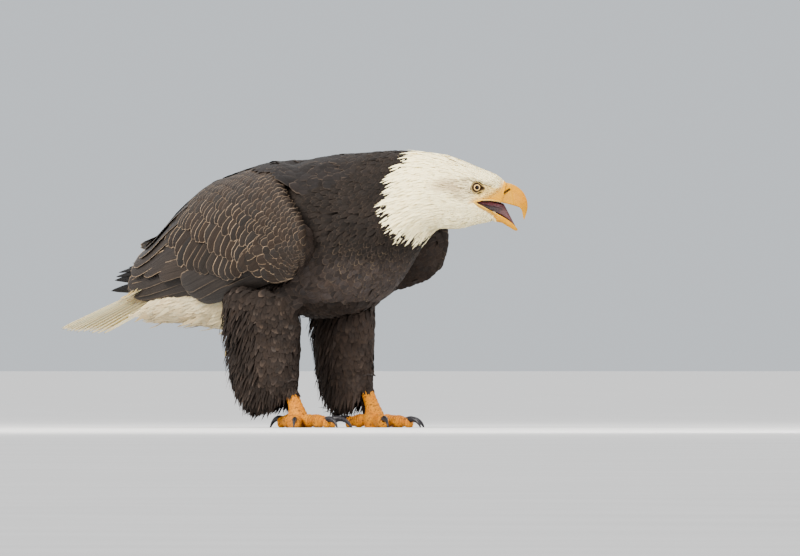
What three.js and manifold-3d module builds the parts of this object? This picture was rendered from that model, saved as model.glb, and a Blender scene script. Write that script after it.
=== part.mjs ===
// A bald eagle at life size: it stands on both feet, leans forward with its wings loosely
// folded, turns its head to its left and calls with its bill open.
// Millimetres, +Z up. The body faces +X and the bird's left is +Y. While the bird is being
// built, the origin lies on the floor between its feet; at the end the whole group is moved
// so that the origin is the middle of its footprint.
import * as THREE from "three";
import { mergeVertices } from "three/addons/utils/BufferGeometryUtils.js";
import Module from "manifold-3d";

const wasm = await Module();
wasm.setup();

// ---------------------------------------------------------------- driving dimensions

const GAP = 0.35; // clearance between pieces that meet
const ROW_GAP = 0.8; // clearance round a row of feathers, whose face is stepped

const HEAD_AT = [250, 47, 371]; // middle of the head, level with the eyes
const HEAD_TURN = 40; // degrees to the bird's left of the way the body faces
const EYE_RADIUS = 10;
const EYE_APART = 27; // from the middle of the head to the middle of each eyeball
const EYE_HOLLOW = 20; // radius of the dish under the brow that each eye looks out of

const RIGHT = -1; // side of the body, as the sign of Y
const LEFT = 1;
const NAMES = { [RIGHT]: "right", [LEFT]: "left" };

const FOOT_FORWARD = { [RIGHT]: -12, [LEFT]: 22 };
const FOOT_APART = 72; // from the middle line to each foot
const SOLE_RADIUS = 15;

// Sections of the body from the rump to the base of the bill: the middle of the section,
// then how far it reaches sideways, up and down.
const BODY = [
  { at: [-262, 0, 240], side: 4, up: 4, down: 4 },
  { at: [-250, 0, 242], side: 26, up: 24, down: 22 },
  { at: [-215, 0, 250], side: 54, up: 58, down: 48 },
  { at: [-165, 0, 260], side: 80, up: 92, down: 74 },
  { at: [-100, 0, 273], side: 100, up: 114, down: 98 },
  { at: [-30, 0, 288], side: 112, up: 126, down: 118 },
  { at: [40, 0, 304], side: 104, up: 123, down: 118 },
  { at: [95, -1, 319], side: 70, up: 112, down: 94 },
  { at: [140, -1, 335], side: 56, up: 101, down: 63 },
  { at: [176, 3, 350], side: 54, up: 85, down: 49 },
  { at: [206, 15, 360], side: 51, up: 66, down: 53 },
  { at: [230, 31, 361], side: 45, up: 53, down: 54 },
  { at: [250, 47, 359], side: 38, up: 43, down: 47 },
  { at: [268, 62, 355], side: 30, up: 37, down: 39 },
  { at: [281, 73, 351], side: 20, up: 27, down: 31 },
];
const BODY_SQUARENESS = 2.15; // 2 is an ellipse
const NECK_FROM = 150; // where the neck leaves the trunk, along X
const HEAD_FROM = 228; // where the head starts, along X

// The outer surface that the folded wings make together, in sections across X: the height
// of its middle line, then how far it reaches sideways, up and down.
const CLOAK = [
  { x: -450, z: 213, side: 14, up: 38, down: 9 },
  { x: -390, z: 220, side: 36, up: 46, down: 26 },
  { x: -330, z: 231, side: 55, up: 66, down: 44 },
  { x: -283, z: 244, side: 72, up: 97, down: 62 },
  { x: -231, z: 257, side: 91, up: 121, down: 77 },
  { x: -180, z: 268, side: 108, up: 125, down: 89 },
  { x: -124, z: 277, side: 123, up: 129, down: 97 },
  { x: -60, z: 288, side: 137, up: 128, down: 104 },
  { x: 0, z: 292, side: 142, up: 128, down: 108 },
  { x: 70, z: 290, side: 140, up: 126, down: 105 },
];
const CLOAK_SQUARENESS = 2.3;

// The covered part of a folded wing: its lower and upper edge on the cloak, as degrees
// round the body from straight out sideways, and its thickness.
const WING = [
  { x: -262, low: -30, high: 62, thick: 3 },
  { x: -250, low: -34, high: 72, thick: 7 },
  { x: -205, low: -41, high: 82, thick: 16 },
  { x: -150, low: -45, high: 85, thick: 22 },
  { x: -95, low: -48, high: 80, thick: 28 },
  { x: -50, low: -48, high: 64, thick: 38 },
  { x: -18, low: -42, high: 42, thick: 50 },
  { x: 6, low: -37, high: 26, thick: 58 },
  { x: 26, low: -31, high: 17, thick: 58 },
  { x: 40, low: -23, high: 12, thick: 48 },
  { x: 48, low: -14, high: 8, thick: 32 },
  { x: 53, low: -5, high: 2, thick: 8 },
];
const WING_EDGE = 2.6; // thickness along its lower and upper edge

// The left wing is held a little open: longer, further forward and out, its tip raised and
// its uppermost flight feathers reaching further back.
const LEFT_WING = { stretch: 1.14, moved: [47, 14, -2], raised: 2, tertials: 32 };

const RECTRICES = 12;
const TAIL_ROOT = [-236, 0, 263];
const TAIL_LENGTH = 310;
const TAIL_DROOP = 21.6; // degrees below level
const TAIL_HALF = { root: 32, tip: 62 };

const MATERIALS = {
  plumage: { color: 0x4a3d34, roughness: 0.85 },
  flight: { color: 0x39322e, roughness: 0.6 },
  white: { color: 0xf2ede2, roughness: 0.85 },
  bill: { color: 0xe9ac3c, roughness: 0.4 },
  skin: { color: 0xe3a23c, roughness: 0.6 },
  mouth: { color: 0x5c3640, roughness: 0.5 },
  claw: { color: 0x24242a, roughness: 0.35 },
  eye: { color: 0xe8dc9a, roughness: 0.1 },
};

// ---------------------------------------------------------------- shape tools

const vec = (x, y, z) => new THREE.Vector3(x, y, z);
const UP = vec(0, 0, 1);
const range = (count) => Array.from({ length: count }, (_, i) => i);
const radians = (angle) => THREE.MathUtils.degToRad(angle);
const mix = THREE.MathUtils.lerp;

// A sine or cosine drawn towards a square by `squareness`, where 2 leaves it round.
const squared = (value, squareness) => Math.sign(value) * Math.abs(value) ** (2 / squareness);

// One value between b and c on the smooth curve through a, b, c and d.
function spline(a, b, c, d, t) {
  const out = (c - a) / 2;
  const back = (d - b) / 2;
  const t2 = t * t;
  const t3 = t2 * t;
  return b + out * t + (3 * (c - b) - 2 * out - back) * t2 + (2 * (b - c) + out + back) * t3;
}

// The row of numbers at `t`, from 0 to 1, along a smooth curve through `rows`.
function along(rows, t) {
  const place = Math.min(Math.max(t, 0), 1) * (rows.length - 1);
  const i = Math.min(Math.floor(place), rows.length - 2);
  const row = (k) => rows[Math.min(Math.max(k, 0), rows.length - 1)];
  return rows[i].map((_, n) =>
    spline(row(i - 1)[n], row(i)[n], row(i + 1)[n], row(i + 2)[n], place - i),
  );
}

// A manifold-3d solid from closed triangles, turned inside out if it has to be.
function manifold(vertProperties, triVerts) {
  const make = () => new wasm.Manifold(new wasm.Mesh({ numProp: 3, vertProperties, triVerts }));
  const made = make();
  if (made.volume() > 0) return made;
  for (let i = 0; i < triVerts.length; i += 3)
    [triVerts[i + 1], triVerts[i + 2]] = [triVerts[i + 2], triVerts[i + 1]];
  return make();
}

function solid(geometry) {
  geometry.deleteAttribute("normal");
  geometry.deleteAttribute("uv");
  const merged = mergeVertices(geometry, 1e-3);
  return manifold(merged.attributes.position.array, new Uint32Array(merged.index.array));
}

// A closed solid through rings of points. Each end is closed by a strip between the first
// and the second half of its ring, which suits circles and bent bands alike.
function loft(rings) {
  const sides = rings[0].length;
  const points = rings.flat();
  const faces = [];
  range(rings.length - 1).forEach((r) =>
    range(sides).forEach((k) => {
      const a = r * sides + k;
      const b = r * sides + ((k + 1) % sides);
      faces.push(a, b, a + sides, b, b + sides, a + sides);
    }),
  );
  range(sides / 2 - 1).forEach((k) => {
    const last = points.length - sides;
    const far = sides - 1 - k;
    faces.push(k, far, k + 1, k + 1, far, far - 1);
    faces.push(last + k, last + k + 1, last + far, last + k + 1, last + far - 1, last + far);
  });
  return manifold(new Float32Array(points.flatMap((p) => p.toArray())), new Uint32Array(faces));
}

const cut = (piece, ...tools) => tools.reduce((a, b) => a.subtract(b), piece);
const largest = (piece) => piece.decompose().sort((a, b) => b.volume() - a.volume())[0];

// A closed curve of `sides` points: each is made by `point` from the cosine and sine of
// its place on the circle.
const circle = (sides, point) =>
  range(sides).map((k) => {
    const angle = (2 * Math.PI * k) / sides;
    return point(Math.cos(angle), Math.sin(angle));
  });

// A smooth solid through stations of the form { at, side, up, down }, all grown by `grow`.
function tapered(stations, count, { sides = 18, squareness = 2, grow = 0 } = {}) {
  const rows = stations.map(({ at, side, up, down }) => [...at, side, up, down]);
  const place = (t) => vec(...along(rows, t).slice(0, 3));
  const rings = range(count).map((i) => {
    const t = i / (count - 1);
    const [side, up, down] = along(rows, t)
      .slice(3)
      .map((reach) => Math.max(reach, 0.3) + grow);
    const forward = place(t + 0.01).sub(place(t - 0.01)).normalize();
    const right = vec().crossVectors(forward, UP).normalize();
    const over = vec().crossVectors(right, forward);
    return circle(sides, (c, s) =>
      place(t)
        .addScaledVector(right, side * squared(c, squareness))
        .addScaledVector(over, (s > 0 ? up : down) * squared(s, squareness)),
    );
  });
  return loft(rings);
}

// Everything beyond a plane, for parting a solid.
function beyond(point, normal) {
  const size = 1500;
  const box = new THREE.BoxGeometry(size, size, size);
  box.translate(0, 0, size / 2);
  box.applyQuaternion(new THREE.Quaternion().setFromUnitVectors(UP, normal.clone().normalize()));
  box.translate(point.x, point.y, point.z);
  return solid(box);
}

function ball(middle, radius, sides = 12) {
  const rows = sides / 2;
  const rings = range(rows - 1).map((i) => {
    const lean = (Math.PI * (i + 1)) / rows;
    return circle(sides, (c, s) =>
      vec(c * Math.sin(lean), s * Math.sin(lean), Math.cos(lean)).multiplyScalar(radius).add(middle),
    );
  });
  return loft(rings);
}

// A row of overlapping feathers as one slab. `place` gives the point at a share across the
// row, from 0 to 1, and at a distance along a feather, from 0 at its root to 1 at its tip.
function featherRow(count, place, { thick, notch = 0.06, stations = 4, grow = 0 }) {
  const nudge = 0.01;
  const parts = [0.03, 0.4, 0.97]; // where across a feather its sections are
  const sections = range(count).flatMap((i) =>
    parts.map((part) => ({ part, share: (i + part) / count })),
  );
  const rings = sections.map(({ part, share }, k) => {
    const end = 1 - notch * (2 * part - 1) ** 4 + grow / 300;
    const step = (thick / 2) * (1 - part); // each feather's edge lies over the next one
    const sideways = (k === sections.length - 1 ? grow : 0) - (k === 0 ? grow : 0);
    const surface = (t, height) => {
      const across = place(share + nudge, t).sub(place(share - nudge, t)).normalize();
      const forward = place(share, t + nudge).sub(place(share, t - nudge));
      const out = vec().crossVectors(across, forward).normalize();
      return place(share, t).addScaledVector(out, height).addScaledVector(across, sideways);
    };
    const over = range(stations).map((j) =>
      surface((end * j) / (stations - 1), thick / 2 + step + grow),
    );
    const under = range(stations).map((j) =>
      surface((end * (stations - 1 - j)) / (stations - 1), -thick / 2 - grow),
    );
    return [...over, ...under];
  });
  return loft(rings);
}

// ---------------------------------------------------------------- trunk, neck and head

const headTurn = radians(HEAD_TURN);

// A point in the head's own frame: x towards the bill, y to its left, z up, from HEAD_AT.
const atHead = (x, y, z) =>
  vec(x, y, z).applyAxisAngle(UP, headTurn).add(vec(...HEAD_AT));

const wholeBody = (grow = 0) => tapered(BODY, 28, { squareness: BODY_SQUARENESS, grow });

// Half of a thin cut across the body's middle line at x: what lies beyond it, forwards or
// backwards.
function beyondSection(x, way) {
  const i = BODY.findIndex(({ at }) => at[0] >= x);
  const before = vec(...BODY[i - 1].at);
  const after = vec(...BODY[i].at);
  const normal = after.clone().sub(before).normalize().multiplyScalar(way);
  const point = before.lerp(after, (x - before.x) / (after.x - before.x));
  return beyond(point.addScaledVector(normal, -GAP / 2), normal);
}

// The open mouth, cut right through the face from the corner of the gape forwards.
const GAPE = [
  [-3.5, -22.5],
  [12, -20.5],
  [26, -21.5],
  [60, -28],
  [60, -62],
  [26, -36.5],
  [8, -28.5],
];

function mouth() {
  const reach = 60;
  const shape = new THREE.Shape(GAPE.map(([x, z]) => new THREE.Vector2(x, z)));
  const prism = new THREE.ExtrudeGeometry(shape, { depth: 2 * reach, bevelEnabled: false });
  prism.translate(0, 0, -reach);
  prism.rotateX(Math.PI / 2);
  prism.rotateZ(headTurn);
  prism.translate(...HEAD_AT);
  return solid(prism);
}

const eye = (side, grow = 0) => ball(atHead(0, side * EYE_APART, 0), EYE_RADIUS + grow);

// The hollow lies mostly outside the face, so that the eye stands in the bottom of a dish.
const eyeHollow = (side) => ball(atHead(3, side * (EYE_APART + EYE_HOLLOW + 2), -3), EYE_HOLLOW);

// Sections of the upper bill from the face to the hooked tip: the point on its ridge, the
// point on its cutting edge, and its half-width there. `pinch` narrows it towards the ridge.
const UPPER_BILL = [
  { ridge: [37, 11], edge: [37, -22.6], half: 16.5 },
  { ridge: [46, 8.6], edge: [46, -24.6], half: 15 },
  { ridge: [55, 5.8], edge: [54, -26.8], half: 13 },
  { ridge: [64, 0.4], edge: [60.5, -28.6], half: 11 },
  { ridge: [72, -7.5], edge: [65.5, -30.4], half: 9 },
  { ridge: [77, -18.4], edge: [68.5, -33.6], half: 7 },
  { ridge: [78.4, -28.3], edge: [69.8, -36.8], half: 5 },
  { ridge: [77.4, -36.4], edge: [70.7, -41.2], half: 3.4 },
  { ridge: [75.2, -43.6], edge: [71.6, -45.8], half: 1.8 },
  { ridge: [73.2, -49], edge: [72.4, -49.2], half: 0.6 },
];
const LOWER_BILL = [
  { ridge: [22, -35.6], edge: [23, -52], half: 14.5 },
  { ridge: [31, -39], edge: [31.5, -53], half: 13.6 },
  { ridge: [40, -43.6], edge: [39.4, -55], half: 12 },
  { ridge: [48, -49], edge: [46.3, -59.3], half: 10.2 },
  { ridge: [54.5, -53.4], edge: [53.2, -63], half: 8 },
  { ridge: [59.5, -58.8], edge: [58, -66], half: 5.6 },
  { ridge: [62.3, -63.4], edge: [61, -66.6], half: 3 },
  { ridge: [63, -65.4], edge: [62.6, -66], half: 0.8 },
];

function billHalf(stations, pinch, grow = 0) {
  const rows = stations.map(({ ridge, edge, half }) => [...ridge, ...edge, half]);
  const count = 10;
  const rings = range(count).map((i) => {
    const [rx, rz, ex, ez, half] = along(rows, i / (count - 1));
    const scale = 0.5 + grow / Math.hypot(rx - ex, rz - ez);
    return circle(10, (c, s) => {
      const height = s * scale;
      const wide = (half + grow) * c * (1 - pinch * height);
      return atHead((rx + ex) / 2 + height * (rx - ex), wide, (rz + ez) / 2 + height * (rz - ez));
    });
  });
  return loft(rings);
}

const upperBill = (grow) => billHalf(UPPER_BILL, 0.55, grow);
const lowerBill = (grow) => billHalf(LOWER_BILL, -0.35, grow);

// The tongue lies along the lower bill and is raised at its tip.
const TONGUE = [
  { at: [12, -26.5], side: 6.5, up: 3, down: 2.6 },
  { at: [26, -30], side: 7, up: 3.6, down: 3.2 },
  { at: [40, -36.5], side: 6, up: 4, down: 3.6 },
  { at: [50, -44], side: 4.6, up: 2.8, down: 2.4 },
  { at: [56, -50.5], side: 2.5, up: 1.3, down: 1.2 },
  { at: [57.5, -52], side: 0.8, up: 0.4, down: 0.4 },
];

function tongue() {
  const stations = TONGUE.map(({ at: [x, z], ...reach }) => ({
    at: atHead(x, 0, z).toArray(),
    ...reach,
  }));
  return tapered(stations, 8, { sides: 10 });
}

// ---------------------------------------------------------------- wings

// Where each wing is held: the right one as the cloak is drawn, the left one as LEFT_WING says.
const wristHeight = CLOAK.at(-1).z;
const WING_POSE = { [RIGHT]: new THREE.Matrix4(), [LEFT]: new THREE.Matrix4() };
WING_POSE[LEFT].makeTranslation(...LEFT_WING.moved)
  .multiply(new THREE.Matrix4().makeTranslation(0, 0, wristHeight))
  .multiply(new THREE.Matrix4().makeRotationY(radians(LEFT_WING.raised)))
  .multiply(new THREE.Matrix4().makeScale(LEFT_WING.stretch, 1, 1))
  .multiply(new THREE.Matrix4().makeTranslation(0, 0, -wristHeight));

const CLOAK_ROWS = CLOAK.map(({ x, z, side, up, down }) => [x, z, side, up, down]);

// The cloak's section at x. Its sections aren't evenly spaced, so the place is searched for.
function cloakAt(x) {
  let low = 0;
  let high = 1;
  range(24).forEach(() => {
    const t = (low + high) / 2;
    if (along(CLOAK_ROWS, t)[0] < x) low = t;
    else high = t;
  });
  return along(CLOAK_ROWS, low);
}

// A point of one wing: on the cloak at x, `angle` degrees round the body from straight out
// on that side, and `inset` below the surface.
function onCloak(side, x, angle, inset = 0) {
  const [, z, wide, up, down] = cloakAt(x);
  const c = squared(Math.cos(radians(angle)), CLOAK_SQUARENESS);
  const s = squared(Math.sin(radians(angle)), CLOAK_SQUARENESS);
  const tall = s > 0 ? up : down;
  const y = side * Math.max(wide - inset, 1) * c;
  return vec(x, y, z + Math.max(tall - inset, 1) * s).applyMatrix4(WING_POSE[side]);
}

function coverts(side, grow = 0) {
  const rows = WING.map(({ x, low, high, thick }) => [x, low, high, thick]);
  const steps = 6;
  const count = 14;
  const rings = range(count).map((i) => {
    const [x, low, high, thick] = along(rows, i / (count - 1));
    const point = (k, inset) => onCloak(side, x, mix(low - grow, high + grow, k / steps), inset);
    const depth = (k) => (k === 0 || k === steps ? Math.min(WING_EDGE, thick) : thick);
    const outer = range(steps + 1).map((k) => point(k, -grow));
    const inner = range(steps + 1).map((k) => point(steps - k, depth(k) + grow));
    return [...outer, ...inner];
  });
  return loft(rings);
}

// The flight feathers that show behind the coverts. They start deep under them.
function secondaries(side, grow = 0) {
  const place = (share, t) => {
    const upper = side === LEFT ? LEFT_WING.tertials * share ** 2 : 0;
    const tip = mix(-330, -356, share) - 44 * Math.sin(Math.PI * share) ** 2 - upper;
    const angle = mix(mix(-36, -46, t), mix(70, 84, t), share);
    return onCloak(side, mix(-236, tip, t), angle, 3 + 15 * (1 - t) ** 2);
  };
  return featherRow(8, place, { thick: 3, stations: 4, grow });
}

// The long outer feathers, under the others, whose tips cross over the rump.
function primaries(side, grow = 0) {
  const place = (share, t) => {
    const tip = -424 - 24 * Math.sin(Math.PI * mix(0.2, 0.7, share));
    const angle = mix(mix(-40, -34, t), mix(48, 74, t), share);
    return onCloak(side, mix(-290, tip, t), angle, mix(20, 6, t));
  };
  return featherRow(5, place, { thick: 2.6, stations: 4, notch: 0.14, grow });
}

// ---------------------------------------------------------------- tail

function tail(grow = 0) {
  const heading = vec(-1, 0, 0).applyAxisAngle(vec(0, 1, 0), -radians(TAIL_DROOP));
  const place = (share, t) => {
    const fan = 2 * share - 1; // -1 at the right edge, 1 at the left edge
    const length = TAIL_LENGTH * (1 - 0.04 * fan ** 2);
    const spread = mix(TAIL_HALF.root, TAIL_HALF.tip, t) * fan;
    const droop = -4 * fan ** 2 - 3.5 * fan * t; // the left side hangs a little lower
    return vec(...TAIL_ROOT).addScaledVector(heading, length * t).add(vec(0, spread, droop));
  };
  return featherRow(RECTRICES, place, { thick: 3, stations: 3, notch: 0.03, grow });
}

// The soft white feathers below the tail and behind the legs.
const CRISSUM = [
  { at: [-150, 0, 214], side: 40, up: 26, down: 34 },
  { at: [-185, 0, 210], side: 54, up: 36, down: 56 },
  { at: [-225, 0, 208], side: 56, up: 40, down: 58 },
  { at: [-275, 0, 204], side: 52, up: 34, down: 46 },
  { at: [-325, 0, 194], side: 46, up: 26, down: 32 },
  { at: [-375, 0, 181], side: 38, up: 17, down: 20 },
  { at: [-412, 0, 172], side: 26, up: 10, down: 10 },
  { at: [-420, 0, 169], side: 8, up: 4, down: 4 },
];

const crissum = (grow = 0) => tapered(CRISSUM, 9, { sides: 12, grow });

// ---------------------------------------------------------------- legs and feet

// A point near a foot: x ahead of its middle, y out from it.
const footAt = (side, x, y, z) => vec(FOOT_FORWARD[side] + x, side * (FOOT_APART + y), z);

// Feathered thighs, in level sections from the belly down: `back` is how far the middle
// of the section lies behind the foot, `long` its half-length and `wide` its half-width.
const THIGH = [
  { z: 240, back: 56, long: 60, wide: 40 },
  { z: 189, back: 75, long: 74, wide: 45 },
  { z: 135, back: 71, long: 70, wide: 41 },
  { z: 88, back: 69, long: 65, wide: 38 },
  { z: 54, back: 62, long: 56, wide: 34 },
  { z: 42, back: 61, long: 42, wide: 27 },
  { z: 34, back: 68, long: 26, wide: 17 },
  { z: 30, back: 72, long: 7, wide: 5 },
];
const THIGH_SLIM = {
  [RIGHT]: { back: 1, size: 1 },
  [LEFT]: { back: 0.88, size: 0.82 },
};

// A solid through level sections of the form [z, x, half-length, half-width].
function leg(side, rows, count, sides, grow) {
  const rings = range(count).map((i) => {
    const [z, x, long, wide] = along(rows, i / (count - 1));
    return circle(sides, (c, s) => footAt(side, x + (long + grow) * c, (wide + grow) * s, z));
  });
  return loft(rings);
}

function thigh(side, grow = 0) {
  const { back, size } = THIGH_SLIM[side];
  const rows = THIGH.map((s) => [s.z, -s.back * back, s.long * size, s.wide * size]);
  return leg(side, rows, 10, 12, grow);
}

// The bare shank, from inside the thigh feathers to the ball of the foot.
const SHANK = [
  { z: 98, x: -34, long: 12, wide: 9 },
  { z: 76, x: -26, long: 12, wide: 9.5 },
  { z: 54, x: -14, long: 11.5, wide: 9.5 },
  { z: 38, x: -6, long: 12, wide: 10 },
  { z: 26, x: -1, long: 14, wide: 12.5 },
  { z: 16, x: 0, long: 17, wide: 16 },
  { z: 8, x: 0, long: 17, wide: 16.5 },
  { z: 0, x: 0, long: SOLE_RADIUS, wide: SOLE_RADIUS },
];

function shank(side, grow = 0) {
  const rows = SHANK.map((s) => [s.z, s.x, s.long, s.wide]);
  return leg(side, rows, 9, 12, grow);
}

// The toes: which way each points, in degrees outward from straight ahead on each foot,
// how long it is without its claw, how thick, and the length of its claw round the curve.
const TOES = {
  middle: { turn: { [RIGHT]: 12, [LEFT]: -4 }, length: 72, thick: 8, claw: 42 },
  inner: { turn: { [RIGHT]: -22, [LEFT]: -36 }, length: 55, thick: 8.2, claw: 50 },
  outer: { turn: { [RIGHT]: 54, [LEFT]: 62 }, length: 58, thick: 7.6, claw: 38 },
  hallux: { turn: { [RIGHT]: -164, [LEFT]: -166 }, length: 42, thick: 8.4, claw: 52 },
};

// The frame of a toe: points at a distance `s` out from the foot and a height `z`.
function toeFrame(side, name) {
  const turn = radians(TOES[name].turn[side]);
  const heading = vec(Math.cos(turn), side * Math.sin(turn), 0);
  const place = (s, z) => footAt(side, 0, 0, z).addScaledVector(heading, s);
  return { place, heading, across: vec().crossVectors(heading, UP) };
}

// A toe: knuckles stand up between its pads, and its pads are flat on the floor.
function toe(side, name, grow = 0) {
  const { place, across } = toeFrame(side, name);
  const { length, thick } = TOES[name];
  const joints = Math.round(length / 24);
  const count = 8;
  const rings = range(count).map((i) => {
    const t = i / (count - 1);
    const pad = 1 + 0.1 * Math.cos(2 * Math.PI * joints * t);
    const end = i === count - 1 ? 0.45 : 1;
    const radius = mix(thick + 1.6, thick - 0.6, t) * pad * end + grow;
    const height = mix(thick + 2.6, thick - 1.2, t) + 1.6 * Math.sin(Math.PI * t);
    return circle(8, (c, s) => {
      const point = place(4 + t * (length + 2), height + 1.08 * radius * s);
      point.addScaledVector(across, radius * c);
      return point.setZ(Math.max(point.z, -grow));
    });
  });
  return loft(rings);
}

// A claw: a tapering arc that springs up out of the end of the toe and comes down to the
// floor in front of it.
const CLAW_SWEEP = 118; // degrees that the claw turns through
const CLAW_RISE = 34; // degrees above level at which it starts

function claw(side, name) {
  const { place, across, heading } = toeFrame(side, name);
  const { length, thick, claw: arc } = TOES[name];
  const count = 7;
  const pitch = (t) => radians(CLAW_RISE - CLAW_SWEEP * t);
  let s = length - 3;
  let z = thick + 1.6;
  const rings = range(count).map((i) => {
    const t = i / (count - 1);
    if (i > 0) {
      const halfway = pitch(t - 0.5 / (count - 1));
      s += (arc / (count - 1)) * Math.cos(halfway);
      z += (arc / (count - 1)) * Math.sin(halfway);
    }
    const over = heading.clone().multiplyScalar(-Math.sin(pitch(t)));
    over.addScaledVector(UP, Math.cos(pitch(t)));
    const radius = mix(5.4, 0.5, t ** 1.15);
    return circle(6, (c, up) => {
      const point = place(s, z)
        .addScaledVector(over, 1.12 * radius * up)
        .addScaledVector(across, 0.86 * radius * c);
      return point.setZ(Math.max(point.z, 0));
    });
  });
  return loft(rings);
}

// ---------------------------------------------------------------- the bird

const eagle = new THREE.Group();

function add(name, piece, material) {
  const { vertProperties, triVerts } = piece.getMesh();
  const geometry = new THREE.BufferGeometry();
  geometry.setAttribute("position", new THREE.BufferAttribute(vertProperties, 3));
  geometry.setIndex(new THREE.BufferAttribute(triVerts, 1));
  const finish = new THREE.MeshStandardMaterial({ metalness: 0, ...MATERIALS[material] });
  const mesh = new THREE.Mesh(geometry, finish);
  mesh.name = name;
  eagle.add(mesh);
}

const body = wholeBody();
const grownBody = wholeBody(GAP);
const face = cut(body, beyondSection(HEAD_FROM, -1), mouth());
const grownFace = cut(grownBody, beyondSection(HEAD_FROM, -1), mouth());
const bothSides = [RIGHT, LEFT];
const hollows = bothSides.flatMap((side) => [eyeHollow(side), eye(side, GAP)]);
const bills = [upperBill(GAP), lowerBill(GAP)];

// The parts of the bill that lie inside the face aren't made.
const upperFrom = beyond(atHead(40, 0, 0), atHead(-1, 0, 0).sub(atHead(0, 0, 0)));
const lowerFrom = beyond(atHead(31, 0, 0), atHead(-1, 0, 0).sub(atHead(0, 0, 0)));

add("trunk", cut(body, beyondSection(NECK_FROM, 1)), "plumage");
add("neck", cut(body, beyondSection(NECK_FROM, -1), beyondSection(HEAD_FROM, 1)), "white");
add("head", largest(cut(face, ...hollows, ...bills)), "white");
add("bill_upper", cut(upperBill(0), upperFrom), "bill");
add("bill_lower", cut(lowerBill(0), lowerFrom), "bill");
add("tongue", largest(cut(tongue(), ...bills, grownFace)), "mouth");
add("undertail", largest(cut(crissum(), grownBody, tail(ROW_GAP))), "white");
add("tail", largest(cut(tail(), grownBody)), "white");

bothSides.forEach((side) => {
  const end = NAMES[side];
  const inward = [grownBody, crissum(GAP), tail(ROW_GAP)];
  add(`eye_${end}`, eye(side), "eye");
  add(`wing_${end}`, largest(cut(coverts(side), ...inward)), "plumage");
  inward.push(coverts(side, GAP));
  add(`secondaries_${end}`, largest(cut(secondaries(side), ...inward)), "flight");
  inward.push(secondaries(side, ROW_GAP));
  add(`primaries_${end}`, largest(cut(primaries(side), ...inward)), "flight");
  add(`thigh_${end}`, largest(cut(thigh(side), ...inward, shank(side, GAP))), "plumage");
  add(`shank_${end}`, largest(cut(shank(side), grownBody)), "skin");
  Object.keys(TOES).forEach((name) => {
    const neighbours = name === "middle" ? [] : [toe(side, "middle", GAP)];
    const shown = cut(toe(side, name), shank(side, GAP), ...neighbours);
    add(`toe_${name}_${end}`, largest(shown), "skin");
    add(`claw_${name}_${end}`, largest(cut(claw(side, name), toe(side, name, GAP))), "claw");
  });
});

const bounds = new THREE.Box3().setFromObject(eagle);
const middle = bounds.getCenter(vec());
eagle.position.set(-middle.x, -middle.y, -bounds.min.z);

export default eagle;
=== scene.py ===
"""The looks of a bald eagle at life size: one skin, a coat of thin closed feathers over it, and
the bill, mouth, eyes, feet and claws in detail.

Shapes are worked out in millimetres in the frame that the bird was designed in, whose origin
lies on the floor between its feet. `new_mesh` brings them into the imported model's frame.
"""

import math

import bpy
import numpy as np
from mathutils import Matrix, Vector
from mathutils.bvhtree import BVHTree
from mathutils.kdtree import KDTree


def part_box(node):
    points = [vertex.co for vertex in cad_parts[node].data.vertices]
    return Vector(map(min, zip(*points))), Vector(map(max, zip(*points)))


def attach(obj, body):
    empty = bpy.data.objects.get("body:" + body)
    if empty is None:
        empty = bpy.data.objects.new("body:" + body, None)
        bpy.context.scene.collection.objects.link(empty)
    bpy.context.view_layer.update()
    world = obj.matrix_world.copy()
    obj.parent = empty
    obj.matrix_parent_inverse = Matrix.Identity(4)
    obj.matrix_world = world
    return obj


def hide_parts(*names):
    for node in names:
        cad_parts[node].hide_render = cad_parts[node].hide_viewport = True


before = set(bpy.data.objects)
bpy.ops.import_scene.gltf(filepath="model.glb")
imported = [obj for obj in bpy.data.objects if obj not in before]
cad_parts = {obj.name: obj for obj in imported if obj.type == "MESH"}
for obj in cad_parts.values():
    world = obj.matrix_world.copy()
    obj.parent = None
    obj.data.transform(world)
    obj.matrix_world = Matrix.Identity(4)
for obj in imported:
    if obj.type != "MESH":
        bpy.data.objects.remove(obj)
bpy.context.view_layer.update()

# ---------------------------------------------------------------- sizes, in millimetres

MM = 0.001
HEAD_AT = np.array([250.0, 47.0, 371.0])  # middle of the head, level with the eyes
HEAD_TURN = math.radians(40)
EYE_OUT = 27.0  # from the middle of the head to the middle of each eye
EYE_RADIUS = 10.0
SIDES = {"right": -1, "left": 1}

FOOT_FORWARD = {"right": -12, "left": 22}  # how far ahead of the origin each foot stands
FOOT_OUT = 72  # how far each foot stands from the middle

# The middle line of the body, from the rump to the base of the bill.
AXIS = np.array([
    (-262, 0, 240), (-165, 0, 260), (-30, 0, 288), (95, -1, 319), (140, -1, 335),
    (176, 3, 350), (206, 15, 360), (230, 31, 361), (250, 47, 359), (281, 73, 351),
], float)

# The surface that the folded wings make, across X: height of its middle line, then how far
# it reaches sideways, up and down. The left wing is the right one's mirror image, but
# stretched lengthwise, turned up at the rear about a line at `height`, and moved.
CLOAK = np.array([
    (-450, 213, 14, 38, 9), (-390, 220, 36, 46, 26), (-330, 231, 55, 66, 44),
    (-283, 244, 72, 97, 62), (-231, 257, 91, 121, 77), (-180, 268, 108, 125, 89),
    (-124, 277, 123, 129, 97), (-60, 288, 137, 128, 104), (0, 292, 142, 128, 108),
    (70, 290, 140, 126, 105),
], float)
CLOAK_SQUARENESS = 2.3
LEFT_WING = {"stretch": 1.14, "moved": (47, 14, -2), "raised": math.radians(2), "height": 290}

TAIL_ROOT = np.array([-236.0, 0.0, 263.0])
TAIL_LENGTH = 310
TAIL_DROOP = math.radians(21.6)
TAIL_WAY = np.array([-math.cos(TAIL_DROOP), 0, -math.sin(TAIL_DROOP)])
TAIL_HALF = (32, 62)  # half its width, at the root and at the end
TAIL_FEATHERS = 12

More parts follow.
